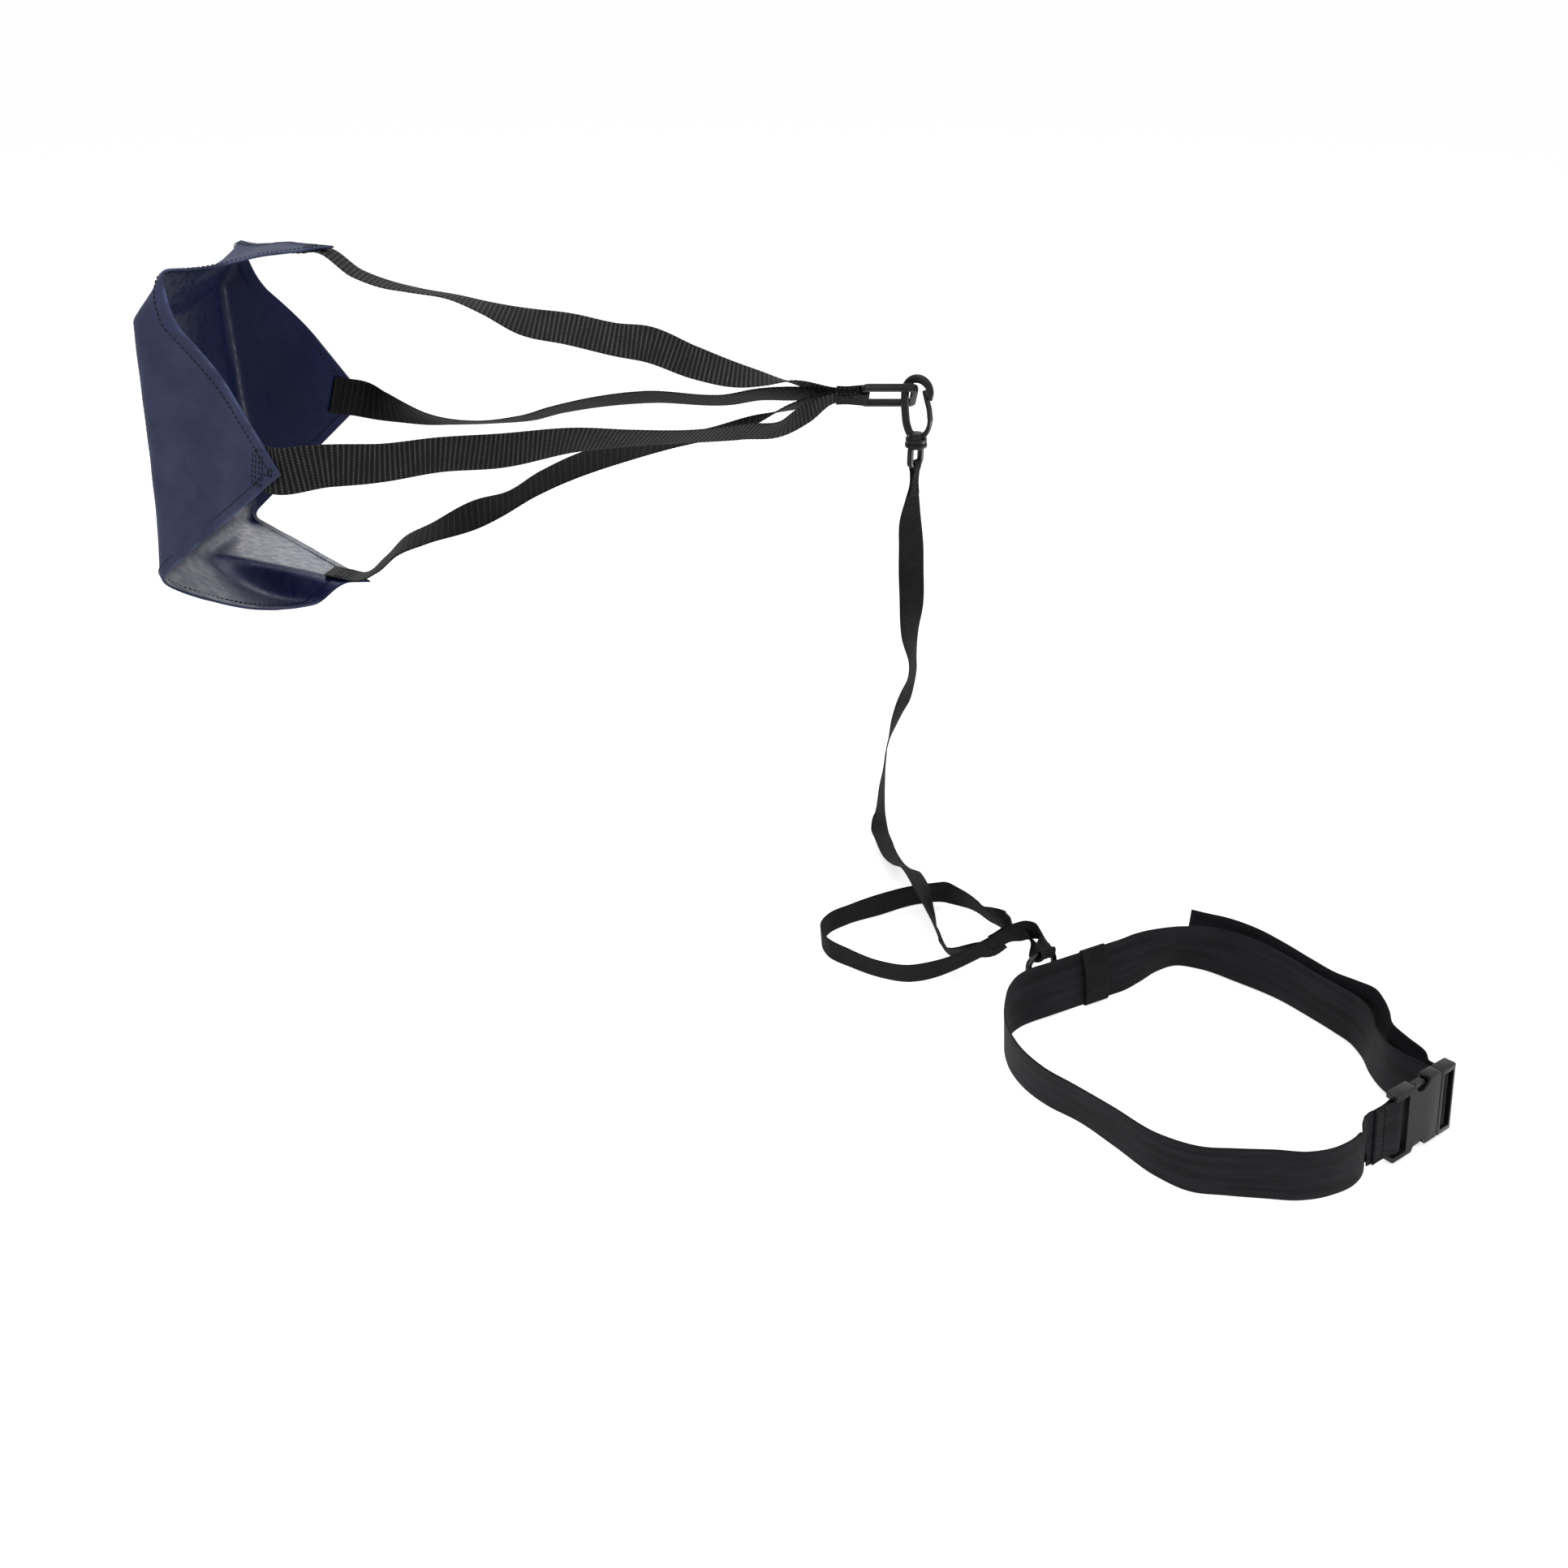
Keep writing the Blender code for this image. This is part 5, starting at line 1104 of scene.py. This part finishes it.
def makeJoinStitches():
    lift = narrowStrap["thickness"] / 2 + threadLift
    place = joinSettings["place"] - joinBack * lift - joinAlong * joinSettings["length"] * 0.3
    join = (axes(place, joinUp, joinAlong, joinBack), narrowStrap["width"] * 0.4, boxHalf, -1)
    makeBoxStitches("joinStitches", "join_stitch", "belt", [join])
    boxes = []
    for side in (-1, 1):
        sewn = eyeFrame @ Matrix.Translation((0, -22 * mm, side * (besideLeg + lift)))
        boxes.append((sewn, eyeLoopWidth * 0.5, boxHalf, side))
    makeBoxStitches("eyeStitches", "eye_stitch", "belt", boxes)


makeRingLoop()
makeTab()
makeKeeper()
makeBelt()
makeJoinStitches()
print("straps laid")

# Moulded pieces


def squareSection(width, depth, squareness, sides=20):
    points = []
    for step in range(sides):
        angle = 2 * math.pi * (step + 0.5) / sides
        c, s = math.cos(angle), math.sin(angle)
        x = math.copysign(abs(c) ** (2 / squareness), c) * width / 2
        y = math.copysign(abs(s) ** (2 / squareness), s) * depth / 2
        points.append((x, y))
    return points


def sweepBar(bm, frames, sections, closed=False):
    ring = [bm.verts.new(frames[0] @ Vector((x, y, 0))) for x, y in sections[0]]
    edges = [bm.edges.new((a, b)) for a, b in zip(ring, ring[1:] + ring[:1])]
    first = edges
    if not closed:
        bm.faces.new(ring)
    for place, section in zip(frames[1:], sections[1:]):
        grown = bmesh.ops.extrude_edge_only(bm, edges=edges)["geom"]
        moved = [item for item in grown if isinstance(item, bmesh.types.BMVert)]
        edges = [item for item in grown if isinstance(item, bmesh.types.BMEdge)]
        edges = [edge for edge in edges if all(vertex in moved for vertex in edge.verts)]
        for vertex, (x, y) in zip(moved, section):
            vertex.co = place @ Vector((x, y, 0))
    if closed:
        bmesh.ops.bridge_loops(bm, edges=first + edges)
    else:
        bmesh.ops.holes_fill(bm, edges=edges, sides=0)


def barLoop(points, section, place, *finish):
    frames = []
    for before, (x, y), after in zip([points[-1], *points], points, [*points[1:], points[0]]):
        along = Vector((after[0] - before[0], after[1] - before[1], 0)).normalized()
        frames.append(place @ axes(Vector((x, y, 0)), along.cross(up), up, along))
    bm = bmesh.new()
    sweepBar(bm, frames, [section] * len(points), closed=True)
    return finishMesh(bm, *finish, smooth=50)


def makeRing():
    settings = ringSettings
    length, width = ((settings[side] - settings["bar"]) / 2 for side in ("length", "width"))
    corner = settings["corner"] - settings["bar"] / 2
    points = roundedRectangle((-length, -width), (length, width), corner, 7)
    drawn = settings["bar"] * settings["drawnShare"]
    section = squareSection(drawn, drawn, settings["squareness"])
    barLoop(points, section, ringFrame, "linkRing", hardwarePlastic, "canopy", "hardware", ["ring"])


# Hook. Its bend lists degrees and a share of the bar's width, its spine and nose x in mm and a share
# of the hook's height, and its nose a share of the width as well.
hookLine = {
    "bend": [
        (-17, 0.56), (-5, 0.66), (15, 0.8), (40, 0.95), (65, 1.05), (90, 1.08), (115, 1.06), (140, 1.03),
        (162, 1.0), (180, 1.0),
    ],
    "spine": [(0, 0.585), (1.1, 0.39), (3.5, 0.211)],
    "nose": [
        (-6.6, 0.11, 1.0), (0, 0.075, 0.95), (6.2, 0.102, 0.8), (10.4, 0.176, 0.62), (12.8, 0.268, 0.54),
    ],
    "step": 1.4 * mm,
}


def makeHook():
    settings = hookSettings
    path = []
    for degrees, share in hookLine["bend"]:
        angle = math.radians(degrees)
        x, z = bendX + settings["bend"] * math.cos(angle), bendZ + settings["bend"] * math.sin(angle)
        path.append((x, 0, z, settings["barWidth"] * share, settings["barDepth"] * min(1, share + 0.1)))
    levels = [(bendX - settings["bend"] + x * mm, level, 1.0) for x, level in hookLine["spine"]]
    levels += [(x * mm, level, share) for x, level, share in hookLine["nose"]]
    levels.append((gateHinge.x, 0.3675, 0.54))
    for x, level, share in levels:
        height = settings["base"] + settings["height"] * level
        path.append((x, 0, height, settings["barWidth"] * share, settings["barDepth"]))
    line = smoothLine(path, hookLine["step"])
    drawn = settings["drawnShare"]
    sideways = Vector((0, 1, 0))
    frames, sections = [], []
    for before, here, after in neighbours(line):
        along = Vector((after[0] - before[0], 0, after[2] - before[2])).normalized()
        frames.append(hookFrame @ axes(Vector(here[0:3]), sideways.cross(along), sideways, along))
        sections.append(squareSection(here[3] * drawn, here[4] * drawn, settings["squareness"]))
    bm = bmesh.new()
    sweepBar(bm, frames, sections)
    finishMesh(bm, "hookBar", hardwarePlastic, "hook", "hardware", ["snap_hook"], 50)
    base, collar, low = settings["baseRadius"], settings["collarRadius"], settings["base"]
    collarTop, baseTop = low + settings["collarHeight"], low + settings["baseHeight"]
    bore, headBore = settings["stemRadius"] + gap, settings["stemHead"] + gap
    ledge = low + settings["ledge"]
    topOfStem = ledge + settings["headHeight"] + 2 * gap
    turnedPiece("hookBase", [
        (0, topOfStem), (headBore, topOfStem), (headBore, ledge), (bore, ledge), (bore, low),
        (collar - 0.7 * mm, low), (collar - 0.2 * mm, low + 0.2 * mm), (collar, low + 0.8 * mm),
        (collar, collarTop - 0.8 * mm), (collar - 0.3 * mm, collarTop - 0.2 * mm),
        (collar - 0.9 * mm, collarTop), (base + 0.3 * mm, collarTop + 0.1 * mm), (base, collarTop + 0.6 * mm),
        (base - 0.6 * mm, baseTop - 0.5 * mm), (base - 1.4 * mm, baseTop), (0, baseTop),
    ], "hook")


def turnedPiece(name, profile, body, nodes=()):
    bm = bmesh.new()
    line = [bm.verts.new((radius, 0, height)) for radius, height in profile]
    edges = [bm.edges.new(pair) for pair in zip(line, line[1:])]
    bmesh.ops.spin(
        bm, geom=line + edges, axis=up, cent=(0, 0, 0), angle=2 * math.pi, steps=48,
        use_merge=True, use_normal_flip=False, use_duplicate=False,
    )
    bmesh.ops.remove_doubles(bm, verts=bm.verts, dist=0.001 * mm)
    bmesh.ops.translate(bm, verts=bm.verts, vec=hookSettings["axis"])
    return finishMesh(bm, name, hardwarePlastic, body, "hardware", nodes, 35)


def makeSwivel():
    settings = hookSettings
    collar, stem, head = settings["collarRadius"], settings["stemRadius"], settings["stemHead"]
    headLow = settings["base"] + settings["ledge"] + gap
    headTop = headLow + settings["headHeight"]
    collarTop = settings["base"] - gap
    turnedPiece("swivelStem", [
        (0, eyeTop - 1.2 * mm), (5 * mm, eyeTop - 1.2 * mm), (collar - 1.2 * mm, eyeTop),
        (collar - 0.2 * mm, eyeTop + 0.4 * mm), (collar + 0.5 * mm, eyeTop + 1.3 * mm),
        (collar + 0.5 * mm, collarTop - 1.0 * mm), (collar + 0.2 * mm, collarTop - 0.3 * mm),
        (collar - 0.5 * mm, collarTop), (stem, collarTop), (stem, headLow), (head, headLow),
        (head, headTop - 0.5 * mm), (head - 0.5 * mm, headTop), (0, headTop),
    ], "belt", ["swivel_eye"])
    bar = eyeSettings["bar"]
    half, top = (eyeSettings["width"] - bar) / 2, eyeSettings["height"] - bar / 2 + mm
    points = roundedRectangle((-half, 0), (half, top), 3.5 * mm, 7)
    section = squareSection(bar, bar * 1.05, 3.6)
    barLoop(points, section, eyeFrame, "swivelLoop", hardwarePlastic, "belt", "hardware")


def makeDRing():
    bar = dRingSettings["bar"]
    half, top = (dRingSettings["width"] - bar) / 2, dRingSettings["height"] - bar
    low, high = 0.35 * top, 0.65 * top
    points = [(half, 2 * mm), (half, 0.2 * top), (half, low)]
    points += [(half * cosine, low + high * sine ** 0.4) for cosine, sine in arc(0, 180, 32)[1:-1]]
    points += [(-half, low), (-half, 0.2 * top), (-half, 2 * mm), (-half + 0.6 * mm, 0.6 * mm)]
    points += [(2 * mm - half, 0), (-8 * mm, 0), (-3 * mm, 0), (3 * mm, 0), (8 * mm, 0)]
    points += [(half - 2 * mm, 0), (half - 0.6 * mm, 0.6 * mm)]
    section = squareSection(bar, bar, dRingSettings["squareness"])
    barLoop(points, section, dRingFrame, "dRingMoulding", glossyPlastic, "d_ring", "glossy", ["d_ring"])


def refined(name, node, body, look, slot, edge):
    bm = bmesh.new()
    bm.from_mesh(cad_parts[node].data)
    bmesh.ops.remove_doubles(bm, verts=bm.verts, dist=0.02 * mm)
    bmesh.ops.dissolve_limit(bm, angle_limit=math.radians(1), verts=bm.verts, edges=bm.edges)
    piece = finishMesh(bm, name, look, body, slot, [node], 35)
    addModifier(
        piece, "softEdges", "BEVEL", width=edge, segments=3, limit_method="ANGLE",
        angle_limit=math.radians(40), use_clamp_overlap=True, harden_normals=True,
    )
    return piece


def makeBuckle():
    edge = buckleSettings["edge"]
    socket = refined("socketMoulding", "buckle_socket", "belt", bucklePlastic, "buckle", edge)
    refined("plugMoulding", "buckle_plug", "belt", bucklePlastic, "buckle", edge)
    for prong in ("prong_upper", "prong_lower"):
        name = prong.replace("prong", "prongMoulding")
        refined(name, prong, prong, bucklePlastic, "buckle", buckleSettings["prongEdge"])
    toBuckle = buckleFrame.inverted()
    socket.data.materials.append(platePlastic)
    for face in socket.data.polygons:
        normal = toBuckle.to_3x3() @ face.normal
        centre = toBuckle @ face.center
        if abs(normal.z) > 0.95 and abs(centre.y) < buckleSettings["plateHalf"]:
            face.material_index = 1


makeRing()
makeHook()
makeSwivel()
makeDRing()
makeBuckle()
refined("gateMoulding", "hook_gate", "gate", hardwarePlastic, "hardware", 0.5 * mm)
print("mouldings made")

# Floor, background and light
stageSettings = {
    "floorSize": 40.0, "floorColour": (0.82, 0.82, 0.82), "floorGlow": 0.62, "floorDrop": 1.5 * mm,
    "world": 0.45,
    "lamps": [
        {"name": "key", "place": (-0.9, -1.1, 2.1), "target": (-0.4, 0.2, 0.2), "size": (1.5, 1.5),
         "power": 22},
        {"name": "fill", "place": (1.3, -0.9, 1.3), "target": (-0.1, 0.1, 0.1), "size": (1.6, 1.6),
         "power": 7},
        {"name": "overhead", "place": (-0.8, 0.85, 2.2), "target": (-0.8, 0.4, 0.3), "size": (0.7, 0.7),
         "power": 12},
        {"name": "strip", "place": (0.40, 0.38, 0.14), "target": (-0.875, 0.53, 0.47), "size": (0.25, 0.2),
         "power": 1.1, "shineOnly": True, "spread": 100},
        {"name": "flapShine", "place": (-0.78, 0.42, 0.50), "target": (-0.81, 0.36, 0.30),
         "size": (0.15, 0.16), "power": 0.12, "shineOnly": True, "spread": 80},
        {"name": "flapCard", "place": (-0.82, 0.495, 0.345), "target": (-0.80, 0.38, 0.29),
         "size": (0.16, 0.1), "power": 0.045, "shineOnly": True, "spread": 100},
    ],
}


def whiteToCamera(look):
    path = addNode(look, "ShaderNodeLightPath")
    seen = path.outputs["Is Camera Ray"]
    for name in ("Is Glossy Ray", "Is Transmission Ray"):
        seen = calc(look, "MAXIMUM", seen, path.outputs[name])
    return seen


def addFloor(settings):
    bm = bmesh.new()
    bmesh.ops.create_grid(bm, x_segments=1, y_segments=1, size=settings["floorSize"] / 2)
    bmesh.ops.translate(bm, verts=bm.verts, vec=(-0.3, 0.3, cadLow.z - settings["floorDrop"]))
    mesh = bpy.data.meshes.new("floor")
    bm.to_mesh(mesh)
    bm.free()
    addObject("floor", mesh)
    look = newMaterial("paleFloor", settings["floorColour"], 0.9, 0.0)
    nodes = look.node_tree.nodes
    glow = addNode(look, "ShaderNodeEmission", {"Color": (1, 1, 1, 1), "Strength": settings["floorGlow"]})
    none = addNode(look, "ShaderNodeEmission", {"Color": (0, 0, 0, 1), "Strength": 0.0})
    sides = {0: whiteToCamera(look), 1: none.outputs[0], 2: glow.outputs[0]}
    glowing = addNode(look, "ShaderNodeMixShader", sides).outputs[0]
    total = addNode(look, "ShaderNodeAddShader", {0: nodes["Principled BSDF"].outputs[0], 1: glowing})
    look.node_tree.links.new(total.outputs[0], nodes["Material Output"].inputs["Surface"])
    mesh.materials.append(look)


def addWorld(settings):
    world = bpy.data.worlds.new("studio")
    world.use_nodes = True
    bpy.context.scene.world = world
    nodes = world.node_tree.nodes
    plain = nodes["Background"]
    plain.inputs["Color"].default_value = (1, 1, 1, 1)
    plain.inputs["Strength"].default_value = settings["world"]
    white = addNode(world, "ShaderNodeBackground", {"Color": (1, 1, 1, 1), "Strength": 1.0})
    sides = {0: whiteToCamera(world), 1: plain.outputs[0], 2: white.outputs[0]}
    mix = addNode(world, "ShaderNodeMixShader", sides)
    world.node_tree.links.new(mix.outputs[0], nodes["World Output"].inputs["Surface"])


def addLamp(lamp):
    data = bpy.data.lights.new(lamp["name"], "AREA")
    data.shape = "RECTANGLE"
    data.size, data.size_y = lamp["size"]
    data.energy = lamp["power"]
    data.spread = math.radians(lamp.get("spread", 180))
    made = addObject(lamp["name"], data)
    made.location = lamp["place"]
    towards = Vector(lamp["target"]) - Vector(lamp["place"])
    made.rotation_euler = towards.to_track_quat("-Z", "Y").to_euler()
    made.visible_camera = False
    made.visible_diffuse = not lamp.get("shineOnly", False)


addFloor(stageSettings)
addWorld(stageSettings)
for lamp in stageSettings["lamps"]:
    addLamp(lamp)
bpy.context.scene.view_settings.view_transform = "Standard"
print("stage and light set")
